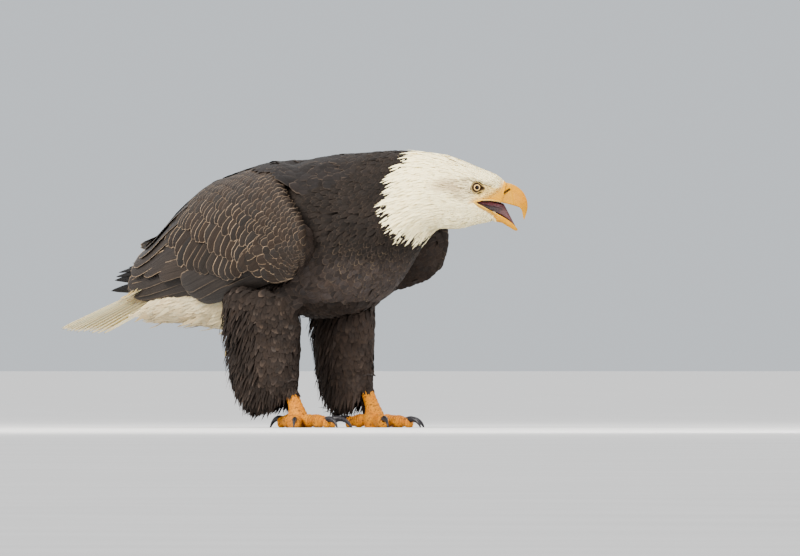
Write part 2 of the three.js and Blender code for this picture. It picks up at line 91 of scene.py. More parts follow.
PATCH = 0.003  # size of a feather's patch in its OFBake map


# ---------------------------------------------------------------- arithmetic

def unit(vectors):
    return vectors / np.maximum(np.linalg.norm(vectors, axis=-1, keepdims=True), 1e-9)


def dot(a, b):
    return (a * b).sum(-1, keepdims=True)


def mix(a, b, t):
    return a + (b - a) * t


def painted(tint, colour, share):
    """A tint for each point, with `colour` over it by the point's share."""
    return mix(tint, colour, share[:, None])

def ease(low, high, x):
    t = np.clip((x - low) / (high - low), 0, 1)
    return t * t * (3 - 2 * t)


def along(rows, t):
    """Rows of numbers at the places `t`, from 0 to 1, on a smooth curve through `rows`."""
    rows = np.asarray(rows, float)
    place = np.clip(np.asarray(t, float), 0, 1) * (len(rows) - 1)
    i = np.minimum(place.astype(int), len(rows) - 2)
    f = (place - i)[..., None]
    a, b = rows[np.maximum(i - 1, 0)], rows[i]
    c, d = rows[i + 1], rows[np.minimum(i + 2, len(rows) - 1)]
    out, back = (c - a) / 2, (d - b) / 2
    return b + out * f + (3 * (c - b) - 2 * out - back) * f**2 + (2 * (b - c) + out + back) * f**3


def power(value, squareness):
    return np.sign(value) * np.abs(value) ** (2 / squareness)


def bell(x, width):
    return np.exp(-((x / width) ** 2))


def circle(count):
    """Angles once round."""
    return np.linspace(0, 2 * np.pi, count, endpoint=False)


def turned(x, y, angle):
    c, s = math.cos(angle), math.sin(angle)
    return c * x - s * y, s * x + c * y


def at_head(points):
    """Points of the head's own frame, x towards the bill and y to its left, in the bird's."""
    x, y, z = np.moveaxis(np.asarray(points, float), -1, 0)
    return np.stack([*turned(x, y, HEAD_TURN), z], -1) + HEAD_AT


def in_head(points):
    """The reverse of at_head."""
    x, y, z = np.moveaxis(np.asarray(points, float) - HEAD_AT, -1, 0)
    return np.stack([*turned(x, y, -HEAD_TURN), z], -1)


def box_middle(node):
    low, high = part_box(node)
    return (np.array(low) + np.array(high)) / 2


ORIGIN = (box_middle("eye_right") + box_middle("eye_left")) / 2 - HEAD_AT * MM


# ---------------------------------------------------------------- meshes

def new_mesh(name, points, faces):
    """A mesh of points in millimetres. `faces` is a list of arrays, one for each face size."""
    mesh = bpy.data.meshes.new(name)
    mesh.vertices.add(len(points))
    mesh.vertices.foreach_set("co", (points * MM + ORIGIN).astype(np.float32).ravel())
    corners = np.concatenate([f.ravel() for f in faces])
    sizes = np.concatenate([np.full(len(f), f.shape[1]) for f in faces])
    mesh.loops.add(len(corners))
    mesh.loops.foreach_set("vertex_index", corners.astype(np.int32))
    mesh.polygons.add(len(sizes))
    starts = np.concatenate([[0], np.cumsum(sizes)[:-1]])
    mesh.polygons.foreach_set("loop_start", starts.astype(np.int32))
    mesh.update(calc_edges=True)
    mesh.shade_smooth()
    return mesh


def new_object(name, mesh):
    piece = bpy.data.objects.new(name, mesh)
    bpy.context.scene.collection.objects.link(piece)
    return piece


def set_values(mesh, name, kind, values):
    attribute = mesh.attributes.new(name, kind, "POINT")
    key = {"FLOAT_COLOR": "color", "FLOAT_VECTOR": "vector"}.get(kind, "value")
    attribute.data.foreach_set(key, np.ascontiguousarray(values, np.float32).ravel())


def set_tint(mesh, colours):
    ones = np.ones((len(colours), 1))
    set_values(mesh, "tint", "FLOAT_COLOR", np.concatenate([colours, ones], 1))


def fetched(items, key, width=1, kind=np.float32):
    """One property of all items, `width` numbers to each."""
    values = np.empty(len(items) * width, kind)
    items.foreach_get(key, values)
    return values.reshape(-1, width) if width > 1 else values


def corner_vertices(mesh):
    return fetched(mesh.loops, "vertex_index", kind=np.int32)


def vertex_normals(mesh):
    return fetched(mesh.vertices, "normal", 3)


def mesh_points(mesh):
    """A mesh's points, back in millimetres in the bird's frame."""
    return (fetched(mesh.vertices, "co", 3) - ORIGIN) / MM


def finish_piece(piece, material, replaced=()):
    piece.data.materials.append(material)
    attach(piece, "root")
    if replaced:
        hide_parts(*replaced)
    return piece


def add_piece(name, mesh, material, replaced=()):
    return finish_piece(new_object(name, mesh), material, replaced)


def ring_faces(rings, sides):
    """Quads between `rings` closed rings of `sides` points."""
    k = np.arange(sides)
    start = (np.arange(rings - 1) * sides)[:, None]
    a, b = start + k, start + (k + 1) % sides
    return np.stack([a, b, b + sides, a + sides], -1).reshape(-1, 4)


def loft(rings):
    """The points and faces of a closed solid through rings of points, shaped (r, sides, 3)."""
    count, sides, _ = rings.shape
    faces = ring_faces(count, sides)
    ends = np.stack([np.arange(sides)[::-1], np.arange(sides) + (count - 1) * sides])
    return rings.reshape(-1, 3), [faces, ends]


def joined(parts):
    """Several (points, faces) pairs as one."""
    points, by_size, start = [], {}, 0
    for some, faces in parts:
        for f in faces:
            by_size.setdefault(f.shape[1], []).append(f + start)
        points.append(some)
        start += len(some)
    return np.concatenate(points), [np.concatenate(f) for f in by_size.values()]


def spaced(points, reach):
    """Which points stay when each, in turn, clears the later ones that it reaches."""
    tree = KDTree(len(points))
    for i, p in enumerate(points):
        tree.insert(p, i)
    tree.balance()
    alive = np.ones(len(points), bool)
    for i, p in enumerate(points):
        if alive[i]:
            for _, j, _ in tree.find_range(p, reach[i]):
                alive[j] = j <= i and alive[j]
    return alive


class Surface:
    """A smooth surface that feathers are rooted on, with its nearest points."""

    TRIES = 3.2  # roots tried for each that would fit
    CLOSEST = 0.86  # how near two roots may lie, as a share of their spacing

    def __init__(self, mesh):
        self.points = mesh_points(mesh)
        faces = [tuple(p.vertices) for p in mesh.polygons]
        self.tree = BVHTree.FromPolygons(self.points.tolist(), faces)
        self.corners = np.array([(f * 2)[:4] if len(f) == 3 else f[:4] for f in faces])
        self.normals = unit(vertex_normals(mesh)[self.corners].mean(1))
        self.middles = self.points[self.corners].mean(1)
        self.areas = fetched(mesh.polygons, "area", kind=np.float64) / (MM * MM)

    def nearest(self, points):
        found = [self.tree.find_nearest(p) for p in points.reshape(-1, 3).tolist()]
        places = np.array([f[0] for f in found]).reshape(points.shape)
        faces = np.array([f[2] for f in found])
        return places, self.normals[faces].reshape(points.shape), faces

    def scatter(self, wanted, spacing):
        """Roots on the faces that `wanted` allows. `spacing` is a number or gives one by place."""
        gap = spacing if callable(spacing) else lambda points: np.full(len(points), spacing)
        chosen = np.flatnonzero(wanted(self.middles, self.normals))
        share = self.areas[chosen] / gap(self.middles[chosen]) ** 2
        count = int(share.sum() * self.TRIES)
        picked = chosen[rng.choice(len(chosen), count, p=share / share.sum())]
        weights = rng.dirichlet(np.ones(4), count)[..., None]
        points = (self.points[self.corners[picked]] * weights).sum(1)
        return points[spaced(points.tolist(), self.CLOSEST * gap(points))]


# ---------------------------------------------------------------- paint

class Nodes:
    """Adds nodes to a node tree and links them up."""

    def __init__(self, tree, end):
        self.tree = tree
        self.end = tree.nodes[end]

    def node(self, kind, inputs=(), **settings):
        made = self.tree.nodes.new("ShaderNode" + kind)
        for key, value in settings.items():
            setattr(made, key, value)
        for socket, value in dict(inputs).items():
            self.put(made.inputs[socket], value)
        return made

    def put(self, socket, value):
        if isinstance(value, bpy.types.NodeSocket):
            self.tree.links.new(value, socket)
        elif socket.type == "RGBA" and len(value) == 3:
            socket.default_value = (*value, 1)
        else:
            socket.default_value = value

    def set(self, socket, value):
        self.put(self.end.inputs[socket], value)

    def coordinates(self, kind):
        return self.node("TexCoord").outputs[kind]

    def math(self, operation, a, b=0.0, c=0.0):
        return self.node("Math", {0: a, 1: b, 2: c}, operation=operation).outputs[0]

    def times(self, a, b):
        return self.math("MULTIPLY", a, b)

    def times_plus(self, a, b, c):
        return self.math("MULTIPLY_ADD", a, b, c)

    def ramp(self, value, low, high, to_low=0.0, to_high=1.0):
        inputs = {0: value, 1: low, 2: high, 3: to_low, 4: to_high}
        made = self.node("MapRange", inputs, interpolation_type="SMOOTHSTEP")
        return made.outputs[0]

    def blend(self, factor, a, b, how="MIX"):
        made = self.node("Mix", {0: factor, 6: a, 7: b}, data_type="RGBA", blend_type=how)
        return made.outputs[2]

    def split(self, vector):
        return self.node("SeparateXYZ", {0: vector}).outputs

    def join(self, x, y, z):
        return self.node("CombineXYZ", {0: x, 1: y, 2: z}).outputs[0]


class Paint(Nodes):
    """One material."""

    def __init__(self, name, specular=0.5, **settings):
        self.material = bpy.data.materials.new(name)
        self.material.use_nodes = True
        super().__init__(self.material.node_tree, "Principled BSDF")
        self.set("Specular IOR Level", specular)
        for socket, value in settings.items():
            self.set(socket.replace("_", " ").title(), value)

    def attribute(self, name, output="Vector"):
        return self.node("Attribute", attribute_name=name).outputs[output]

    def tint(self):
        return self.attribute("tint", "Color")

    def place(self):
        """The point's place in the object, in metres."""
        return self.coordinates("Object")

    def grey(self, shade):
        return self.join(shade, shade, shade)

    def shaded(self, colour, shade):
        """A colour times a shade, which is one number."""
        return self.blend(1.0, colour, self.grey(shade), "MULTIPLY")

    def scaled(self, vector, factors):
        made = self.node("VectorMath", {0: vector, 1: factors}, operation="MULTIPLY")
        return made.outputs[0]

    def noise(self, vector, scale, detail=2.0, roughness=0.5):
        inputs = {"Vector": vector, "Scale": scale, "Detail": detail, "Roughness": roughness}
        return self.node("TexNoise", inputs).outputs[0]

    def cells(self, vector, scale, feature="F1"):
        made = self.node("TexVoronoi", {"Vector": vector, "Scale": scale}, feature=feature)
        return made.outputs["Distance"]

    def bump(self, height, distance, strength=1.0):
        inputs = {"Height": height, "Distance": distance, "Strength": strength}
        self.set("Normal", self.node("Bump", inputs).outputs[0])


FEATHER_SPECULAR = 0.08
GLOW_REACH = (0.004, 0.0035, 0.003)  # metres that light spreads inside white feathers
BARB_SLANT = 0.35  # how far back the barbs start at the shaft
BARB_SCALE, RUN_SCALE = 38, 2.6  # of the barbs, and of the broader streaks
FRAY = 0.2  # how far the barbs shift the rim
BARB_HIGH = 0.0004  # metres


def rim_nearness(paint, out, lengthwise, end, tipped):
    """1 on a vane's rim. With `tipped` at 1 only the way along the feather counts."""
    past = paint.math("MAXIMUM", paint.times_plus(lengthwise, 1 / (1 - end), -end / (1 - end)))
    side = paint.times(out, paint.math("SQRT", paint.math("SUBTRACT", 1, paint.times(past, past))))
    edgeward = paint.math("SQRT", paint.times_plus(past, past, paint.math("POWER", side, 2)))
    return paint.times_plus(lengthwise, tipped, paint.times(edgeward, 1 - tipped))


def feather_paint(name, roughness, *, end, rim, streaks, tipped=0.0, glow=0.0):
    """Vanes: a rim of the `edge` colour, a shaft, and barbs that slant from shaft to rim.

    `end` is where along a feather its rounded end starts, and `rim` how far out its rim does.
    With `tipped` at 1 the edge colour comes in towards the tip instead of all round.
    """
    paint = Paint(name, specular=FEATHER_SPECULAR, roughness=roughness, subsurface_weight=glow,
                  subsurface_radius=GLOW_REACH)
    across, lengthwise, chance = paint.split(paint.attribute("vane"))
    out = paint.math("ABSOLUTE", across)
    slant = paint.times_plus(out, -BARB_SLANT, lengthwise)
    barbs = paint.noise(paint.join(paint.times(out, 0.5), slant, chance), BARB_SCALE, 3, 0.7)
    runs = paint.noise(paint.join(paint.times(across, 3.2), lengthwise, chance), RUN_SCALE, 3)
    near_rim = paint.times_plus(paint.math("SUBTRACT", barbs, 0.5), FRAY,
                                rim_nearness(paint, out, lengthwise, end, tipped))
    pale = paint.times(paint.ramp(near_rim, rim, 0.98), paint.ramp(lengthwise, 0.2, 0.7))
    colour = paint.blend(pale, paint.tint(), paint.attribute("edge", "Color"))
    light = paint.ramp(runs, 0.3, 0.7, 1 - streaks, 1 + streaks * 0.6)
    fine = paint.times(light, paint.ramp(barbs, 0.25, 0.75, 1 - streaks, 1.06))
    shaft = paint.ramp(out, 0.03, 0.09, 1 - streaks, 1.0)
    # Darker towards the root: partly the feather's own darker base, partly painted shade where the
    # feather above covers it.
    root = paint.ramp(lengthwise, 0.05, 0.6, 1 - 1.6 * streaks, 1.0)
    paint.set("Base Color", paint.shaded(colour, paint.times(paint.times(fine, shaft), root)))
    paint.bump(paint.math("ADD", barbs, paint.ramp(out, 0.0, 0.07, 0.6, 0.0)), BARB_HIGH, 0.7)
    return paint.material


# ---------------------------------------------------------------- feathers

ROUND, OVAL, POINTED, LONG, SHAGGY = "round", "oval", "pointed", "long", "shaggy"
ENDS = {  # where along a feather of each kind its end starts to narrow, and where it is widest
    ROUND: (0.8, 0.5), OVAL: (0.55, 0.4), POINTED: (0.3, 0.25), LONG: (0.88, 0.3), SHAGGY: (0.45, 0.3),
}
ROOT_WIDTH, WIDENING = 0.45, 0.55  # a feather's width at its root, and how much it gains
LEAST_WIDTH = 0.02


def outline(kind, t):
    """Half the width of a feather along its length, as a share of its greatest."""
    start, swell = ENDS[kind]
    past = np.clip((t - start) / (1 - start), 0, 1)
    tip = (1 - past) ** 0.7 if kind in (POINTED, SHAGGY) else np.sqrt(1 - past**2)
    return np.minimum(ROOT_WIDTH + WIDENING * t / swell, 1) * tip + LEAST_WIDTH


RING = {  # places across a feather and their heights, as shares of its camber, then the keel
    6: (np.array([-1, -0.5, 0, 0.5, 1, 0]), np.array([0, 0, 0, 0, 0, 1])),
    4: (np.array([-1, 0, 1, 0]), np.array([0, 0, 0, 1])),
}
STATIONS = {
    5: np.array([0, 0.3, 0.6, 0.84, 1]),
    7: np.array([0, 0.25, 0.5, 0.7, 0.84, 0.94, 1]),
    12: np.array([0, 0.1, 0.2, 0.32, 0.44, 0.56, 0.68, 0.78, 0.86, 0.92, 0.97, 1]),
}


def vanes(line, up, width, kind, *, ring=6, camber=0.07, thick=0.4, roll=0.0, ragged=0.05,
          skew=0.0):
    """Feathers along `line` (n, k, 3), facing `up`, as points and faces and their vane values."""
    count, stations, _ = line.shape
    t = STATIONS[stations]
    across, keel = RING[ring]
    forward = unit(np.gradient(line, axis=1))
    side = unit(np.cross(forward, up))
    up = unit(np.cross(side, forward))
    turn = np.broadcast_to(np.asarray(roll, float).reshape(-1, 1, 1), (count, 1, 1))
    side, up = side * np.cos(turn) + up * np.sin(turn), up * np.cos(turn) - side * np.sin(turn)
    half = np.asarray(width, float).reshape(-1, 1) / 2 * outline(kind, t)
    edges = 1 + rng.normal(0, ragged, (count, stations, len(across)))
    lean = (across + skew * (1 - across**2)) * edges
    crown = camber * half[..., None] * (1 - across**2)
    height = crown - keel * thick * (0.35 + 0.65 * outline(kind, t))[:, None]
    points = (
        line[:, :, None]
        + side[:, :, None] * (half[..., None] * lean)[..., None]
        + up[:, :, None] * height[..., None]
    )
    base = (np.arange(count) * stations * ring)[:, None, None]
    tubes = (ring_faces(stations, ring) + base).reshape(-1, 4)
    roots = np.arange(ring)[::-1] + base[:, 0]
    tips = np.arange(ring) + (stations - 1) * ring + base[:, 0]
    chance = np.broadcast_to(rng.random((count, 1, 1)), points.shape[:3])
    values = np.stack(np.broadcast_arrays(across, t[:, None], chance), -1)
    return points.reshape(-1, 3), [tubes, np.concatenate([roots, tips])], values.reshape(-1, 3)


def sharpen_rims(mesh, across):
    """Keeps the shading of a vane's top apart from that of its underside."""
    pair = across[fetched(mesh.edges, "vertices", 2, np.int32)]
    rim = (np.abs(pair).min(1) == 1) & (pair[:, 0] == pair[:, 1])
    mesh.attributes.new("sharp_edge", "BOOLEAN", "EDGE").data.foreach_set("value", rim)


def feather_piece(name, made, roots_uv, tints, edges, material, replaced=(), patch=PATCH):
    """One coat piece. Each feather's part of the OFBake map is a patch at its root's place."""
    points, faces, values = made
    mesh = new_mesh(name, points, faces)
    each = len(points) // len(tints)
    set_tint(mesh, np.repeat(tints, each, 0))
    edge = np.concatenate([np.repeat(edges, each, 0), np.ones((len(points), 1))], 1)
    set_values(mesh, "edge", "FLOAT_COLOR", edge)
    set_values(mesh, "vane", "FLOAT_VECTOR", values)
    sharpen_rims(mesh, values[:, 0])
    size = np.broadcast_to(np.asarray(patch, float), (2,))
    uv = np.repeat(roots_uv, each, 0) + (values[:, :2] * (0.5, 1) - (0, 0.5)) * size
    corners = corner_vertices(mesh)
    layer = mesh.uv_layers.new(name="OFBake")
    layer.data.foreach_set("uv", uv[corners].astype(np.float32).ravel())
    return add_piece(name, mesh, material, replaced)


def trace(surface, roots, flow, length, stations, hang=-2.0):
    """Lines that leave the roots and follow the flow over the surface, and its normals there.

    Where the surface faces down more than `hang`, they leave it and run straight on.
    """
    steps = np.diff(STATIONS[stations])
    place, normal, _ = surface.nearest(roots)
    line, up = [place], [normal]
    heading = flow(place)
    free = np.zeros((len(place), 1), bool)  # the lines that have left the surface
    for step in steps:
        heading = unit(heading - dot(heading, up[-1]) * up[-1])
        ahead = line[-1] + heading * step * length[:, None]
        place, normal, _ = surface.nearest(ahead)
        free |= normal[:, 2:] < hang
        place, normal = np.where(free, ahead, place), np.where(free, up[-1], normal)
        line.append(place)
        up.append(unit(mix(up[-1], normal, 0.7)))
        heading = mix(heading, unit(flow(place)), 0.5)
    return np.stack(line, 1), np.stack(up, 1)


def raise_tips(line, up, depth, lift, curl=1.6):
    """Feathers start `depth` below the surface, reach it at two thirds and lift at the tip."""
    t = STATIONS[line.shape[1]]
    height = -np.outer(depth, (1 - ease(0, 0.75, t))) + np.outer(lift, t**curl)
    return line + up * height[..., None]


# ---------------------------------------------------------------- surfaces from the frame

def node_part(node):
    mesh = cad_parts[node].data
    corners = corner_vertices(mesh).reshape(-1, 3)
    return mesh_points(mesh), [corners]


def remeshed(nodes, voxel, smoothing):
    """CAD nodes as one closed, even and smoothed mesh."""
    piece = new_object("remeshed", new_mesh("remeshed", *joined([node_part(n) for n in nodes])))
    remesh = piece.modifiers.new("remesh", "REMESH")
    remesh.mode = "VOXEL"
    remesh.voxel_size = voxel * MM
    smooth = piece.modifiers.new("smooth", "SMOOTH")
    smooth.factor = 0.5
    smooth.iterations = smoothing
    view = bpy.context.evaluated_depsgraph_get()
    mesh = bpy.data.meshes.new_from_object(piece.evaluated_get(view))
    bpy.data.objects.remove(piece)
    return mesh


def mesh_part(mesh):
    sizes = fetched(mesh.polygons, "loop_total", kind=np.int32)
    starts = fetched(mesh.polygons, "loop_start", kind=np.int32)
    corners = corner_vertices(mesh)
    faces = [corners[starts[sizes == s][:, None] + np.arange(s)] for s in np.unique(sizes)]
    return mesh_points(mesh), faces


FLESH = ["trunk", "neck", "head", "undertail", "thigh_right", "thigh_left"]
WINGS = ["wing_right", "wing_left"]
TOES = {  # degrees outward from ahead, length without the claw, thickness, arc of the claw
    "middle": ({"right": 12, "left": -4}, 72, 8.0, 42),
    "inner": ({"right": -22, "left": -36}, 55, 8.2, 50),
    "outer": ({"right": 54, "left": 62}, 58, 7.6, 38),
    "hallux": ({"right": -164, "left": -166}, 42, 8.4, 52),
}
FEET = [f"{part}_{side}" for side in SIDES for part in ["shank", *(f"toe_{t}" for t in TOES)]]

rng = np.random.default_rng(7)
body_mesh = remeshed(FLESH, voxel=3.5, smoothing=24)
face_mesh = remeshed(["neck", "head"], voxel=1.4, smoothing=7)
shoulder_mesh = remeshed([*FLESH, *WINGS], voxel=4.0, smoothing=30)
tail_part = node_part("tail")


def surface_of(*parts):
    return Surface(new_mesh("surface", *joined(parts)))


under = surface_of(mesh_part(body_mesh), tail_part)  # the body without its wings


# ---------------------------------------------------------------- markings

def srgb(red, green, blue):
    """A colour as the eye reads it, from 0 to 255, as light."""
    c = np.array([red, green, blue]) / 255
    return np.where(c <= 0.04045, c / 12.92, ((c + 0.055) / 1.055) ** 2.4)


BROWN = srgb(35, 28, 24)
CHEST = srgb(25, 20, 17)
BACK = srgb(23, 19, 18)
# The belly's brown is lighter than the chest's: painted light from below.
BELLY = srgb(54, 47, 44)
BROWN_EDGE = srgb(66, 56, 49)
BREAST_EDGE = srgb(118, 102, 82)
COVERT = srgb(38, 30, 24)
SLATE = srgb(34, 31, 29)
COVERT_EDGE = srgb(152, 130, 106)
FLIGHT = srgb(41, 36, 33)
BLACK = srgb(14, 12, 12)
WHITE = srgb(255, 239, 187)
CREAM = srgb(240, 220, 176)
STAIN = srgb(172, 148, 112)
SMUDGE = srgb(168, 146, 112)
LORE = srgb(230, 194, 108)
BROW_SHADOW = srgb(92, 76, 46)
LID = srgb(116, 98, 56)
LID_EDGE = srgb(52, 35, 18)
LID_INSIDE = srgb(44, 30, 14)
CERE = srgb(198, 136, 0)
HORN = srgb(178, 118, 0)
HORN_TIP = srgb(178, 124, 6)
HORN_FRONT = srgb(188, 106, 0)
NOSTRIL_SHADE = srgb(30, 18, 10)
LIP = srgb(214, 166, 56)
CHIN = srgb(168, 132, 70)
MOUTH = srgb(70, 38, 46)
PALATE = srgb(98, 56, 66)
BELOW_PALATE = srgb(36, 15, 18)
TONGUE = srgb(72, 33, 34)
TONGUE_TIP = srgb(92, 62, 62)
IRIS = srgb(206, 164, 92)
IRIS_STREAK = srgb(232, 196, 126)
IRIS_INNER = srgb(130, 88, 44)
IRIS_RIM = srgb(46, 31, 16)
PUPIL = (0.005, 0.003, 0.002)
LEG = srgb(192, 120, 0)
LEG_BLOTCH = srgb(176, 92, 12)
LEG_SPECK = srgb(70, 48, 30)
CLAW = srgb(18, 17, 20)
CLAW_WORN = srgb(40, 38, 42)

axis_line = along(AXIS, np.linspace(0, 1, 160))
axis_ways = unit(np.gradient(axis_line, axis=0))


def axis_index(points):
    gaps = ((points[:, None] - axis_line[None]) ** 2).sum(-1)
    return gaps.argmin(1)


WHITE_FROM = 178  # where the white of the neck starts on the body's middle line
WHITE_NAPE, WHITE_THROAT = 18, 34  # how much further ahead it starts above and below
NECK_HALF = 60  # half the neck's height


def white_neck(points):
    """How far, in millimetres, a point lies ahead of the line where the white begins."""
    i = axis_index(points)
    rise = np.clip((points[:, 2] - axis_line[i, 2]) / NECK_HALF, -1, 1)
    border = WHITE_FROM + np.where(rise > 0, WHITE_NAPE, WHITE_THROAT) * rise**2
    round_neck = np.arctan2(points[:, 1] - axis_line[i, 1], points[:, 2] - axis_line[i, 2])
    locks = 5 * np.sin(11 * round_neck + 1) + 3 * np.sin(25 * round_neck)
    return points[:, 0] - border - locks


EYE_OPENING = 6.6
CORNER_OPENING = 0.7
EYE_CORNER = np.array([9.8, -1.3])  # the front corner of the eye, where the opening ends


def eye_distance(local):
    """How far outside the eye's opening a point lies, seen from the side."""
    x, z = local[..., 0], local[..., 2]
    t = ((x * EYE_CORNER[0] + z * EYE_CORNER[1]) / (EYE_CORNER**2).sum()).clip(0, 1)
    opening = mix(EYE_OPENING, CORNER_OPENING, t)
    return np.hypot(x - t * EYE_CORNER[0], z - t * EYE_CORNER[1]) - opening


def brow_line(x):
    """The height of the brow's lower edge."""
    return 12.0 - 0.27 * (x + 8)


# Lines on the side of the head, in its own x and z: the upper and lower edge of the open mouth,
# the lower edge of the chin's bare skin, and the upper edge of the yellow skin above the mouth.
UPPER_GAPE = np.array([(-4, -21.5), (3, -20), (12, -19.4), (26, -20.6), (38, -22.6)])
LOWER_GAPE = np.array([(-4, -22.5), (3, -26), (12, -30.6), (22, -35.8), (31, -40)])
CHIN_EDGE = np.array([(-4, -25), (2, -30.5), (6, -33), (12, -36.4), (22, -42.2), (29, -46.4), (33, -51)])
CERE_EDGE = np.array([(-6, -20), (14, -17), (23, -12), (35, -4), (39, 3), (41, 9), (42, 14)])


def height_on(edge, x):
    return np.interp(x, edge[:, 0], edge[:, 1])


def in_mouth(local):
    inside = (local[:, 2] < height_on(UPPER_GAPE, local[:, 0]) - 1)
    inside &= local[:, 2] > height_on(LOWER_GAPE, local[:, 0]) + 1
    return inside & (local[:, 0] > -3)


def from_line(x, z, start, end):
    """Distance from a line between two points, all in the head's x and z."""
    (x0, z0), (x1, z1) = start, end
    t = (((x - x0) * (x1 - x0) + (z - z0) * (z1 - z0)) / ((x1 - x0) ** 2 + (z1 - z0) ** 2)).clip(0, 1)
    return np.hypot(x - mix(x0, x1, t), z - mix(z0, z1, t))


def chin_layer(x, z):
    """The bare skin under the gape: its colour, whose olive-brown is partly its own and partly painted
    shadow, and where it lies.
    """
    gape = height_on(LOWER_GAPE, x)
    depth = (gape - z) / (gape - height_on(CHIN_EDGE, x))
    colour = mix(CERE * 0.85, CHIN, ease(0.2, 1.0, depth)[:, None])
    where = (z < gape) & (x > -4) & (z < -18)
    return colour, ease(1.25, 0.9, depth) * where * (x < 48)


def face_tint(tint, local):
    """The bare skin and the shaded places of the face, over the white."""
    x, z = local[:, 0], local[:, 2]
    side = (x > -70) & (x < 60) & (np.abs(z) < 65)
    wide = np.abs(local[:, 1]) > 12
    lid = eye_distance(local)
    brow = brow_line(x)
    behind_eye = ease(16, 3, np.hypot((x + 30) / 1.9, z - 3))
    below_eye = ease(13, 3, np.hypot((x + 14) / 1.4, z + 9))
    lore = ease(-4, 8, x) * ease(brow + 1, brow - 4, z) * ease(-23, -19, z)
    yellow = ease(-9, 5, height_on(CERE_EDGE, x) - z) * ease(-12, 6, x) * ease(-25, -22, z)
    layers = [
        (SMUDGE, 0.8 * (behind_eye + 0.6 * below_eye).clip(0, 1) * wide),
        (LORE, 0.85 * lore),
        (CERE, yellow**1.3),
        (BROW_SHADOW, 0.9 * (bell(z - brow + 2.0, 1.9) * ease(-15, -8, x) * ease(34, 16, x)) * wide),
        (LID, 0.9 * ease(2.8, 1.2, lid) * wide),
        (LID_EDGE, ease(1.4, 0.6, lid) * wide),
        chin_layer(x, z),
    ]
    for colour, share in layers:
        tint = painted(tint, colour, share * side)
    # Painted shade: skin deep inside the mouth gets a darker copy of the mouth's colour.
    tint[side & (z < -19) & in_mouth(local) & (np.abs(local[:, 1]) < 26)] = MOUTH * 0.6
    return tint


def skin_tint(points):
    """The markings, for the skin and for whatever grows from it."""
    tint = painted(BROWN, WHITE, ease(-4, 4, white_neck(points)))
    rear = ease(-150, -175, points[:, 0]) * ease(262, 250, points[:, 2])
    return face_tint(painted(tint, CREAM, rear), in_head(points))


# ---------------------------------------------------------------- skin

BODY_COAT, FACE_COAT, ANKLE_COAT = 9.0, 2.2, 3.0  # how deep the skin lies under the coat
NECK_IN = 3.5  # how much deeper the trunk's skin lies where the head's takes over


def shrink(mesh, depth):
    """A mesh's points moved inwards by `depth`, and its faces."""
    points, faces = mesh_part(mesh)
    return points - vertex_normals(mesh) * depth(points)[:, None], faces


def coat_depth(points):
    """How deep the skin lies below the outside of the coat."""
    head = ease(-60, -10, in_head(points)[:, 0])
    ankle = ease(75, 40, points[:, 2])
    return mix(mix(BODY_COAT, ANKLE_COAT, ankle), FACE_COAT, head)


LID_OUT = 35.2  # how far the lids lie from the middle of the head
BROW_OUT = 4.2  # how far the brows overhang
LORE_IN = 2.4  # depth of the hollow before each eye


def face_relief(local):
    """How far the brows stand out and the hollows before the eyes lie in."""
    x, y, z = local.T
    above = z - brow_line(x)
    over = ease(-24, -10, x) * ease(34, 20, x)
    brow = BROW_OUT * ease(0, 3.2, above) * ease(15, 4, above)
    shelf = 1.2 * bell(above + 2, 1.8) * (eye_distance(local) > 2)
    lore = LORE_IN * np.exp(-((x - 20) ** 2 / 80) - ((z + 4) ** 2 / 50))
    return (over * (brow - shelf) - lore) * (np.abs(y) > 14)


def sculpted_face():
    """The head's skin, pressed in round each eye's opening."""
    points, faces = shrink(face_mesh, lambda p: coat_depth(p) + 0.3 * ease(0, -60, in_head(p)[:, 0]))
    local = in_head(points)
    x, y, z = local.T
    wide = np.abs(y)
    lid = eye_distance(local)
    target = np.where(lid < 0, np.maximum(LID_OUT - 1.2 + 2.5 * lid, LID_OUT - 3.2), LID_OUT - 0.4)
    wide = mix(wide, target, ease(6, 2, lid) * (wide > 14))
    wide = wide + face_relief(local)
    return at_head(np.stack([x, np.sign(y) * wide, z], -1)), faces


def face_surface():
    """The outside of the coat on the head and neck, with the face's relief."""
    points, faces = mesh_part(face_mesh)
    local = in_head(points)
    local[:, 1] += np.sign(local[:, 1]) * face_relief(local)
    return surface_of((at_head(local), faces))


face = face_surface()


def side_of_head(x, z, side):
    """How far out the face lies at the head's own x and z."""
    start = at_head((x, side * 90, z))
    inward = at_head((x, 0, z)) - start
    hit = face.tree.ray_cast(Vector(start), Vector(inward))[0]
    return side * 5.0 if hit is None else float(in_head(np.array(hit))[1])


def opening_edge(angle, out):
    """Points `out` millimetres outside the eye's opening, seen at each angle from its middle."""
    near, far = np.zeros_like(angle), np.full_like(angle, 20.0)
    for _ in range(30):
        middle = (near + far) / 2
        place = np.stack([middle * np.cos(angle), 0 * angle, middle * np.sin(angle)], -1)
        inside = eye_distance(place) < out
        near, far = np.where(inside, middle, near), np.where(inside, far, middle)
    return middle * np.cos(angle), middle * np.sin(angle)


# Across the rim of the eye: how far outside the opening, and how far out from LID_OUT.
LID_PLACES = np.array([-0.7, -0.3, 0.1, 0.5, 0.9, 1.25, 1.6, 2.0, 2.4, 2.5, 0.8, -0.6])
LID_RISES = np.array([-1.2, 0.0, 0.6, 0.6, 0.3, 0.05, 0.35, 0.25, -0.5, -2.2, -2.6, -2.4])


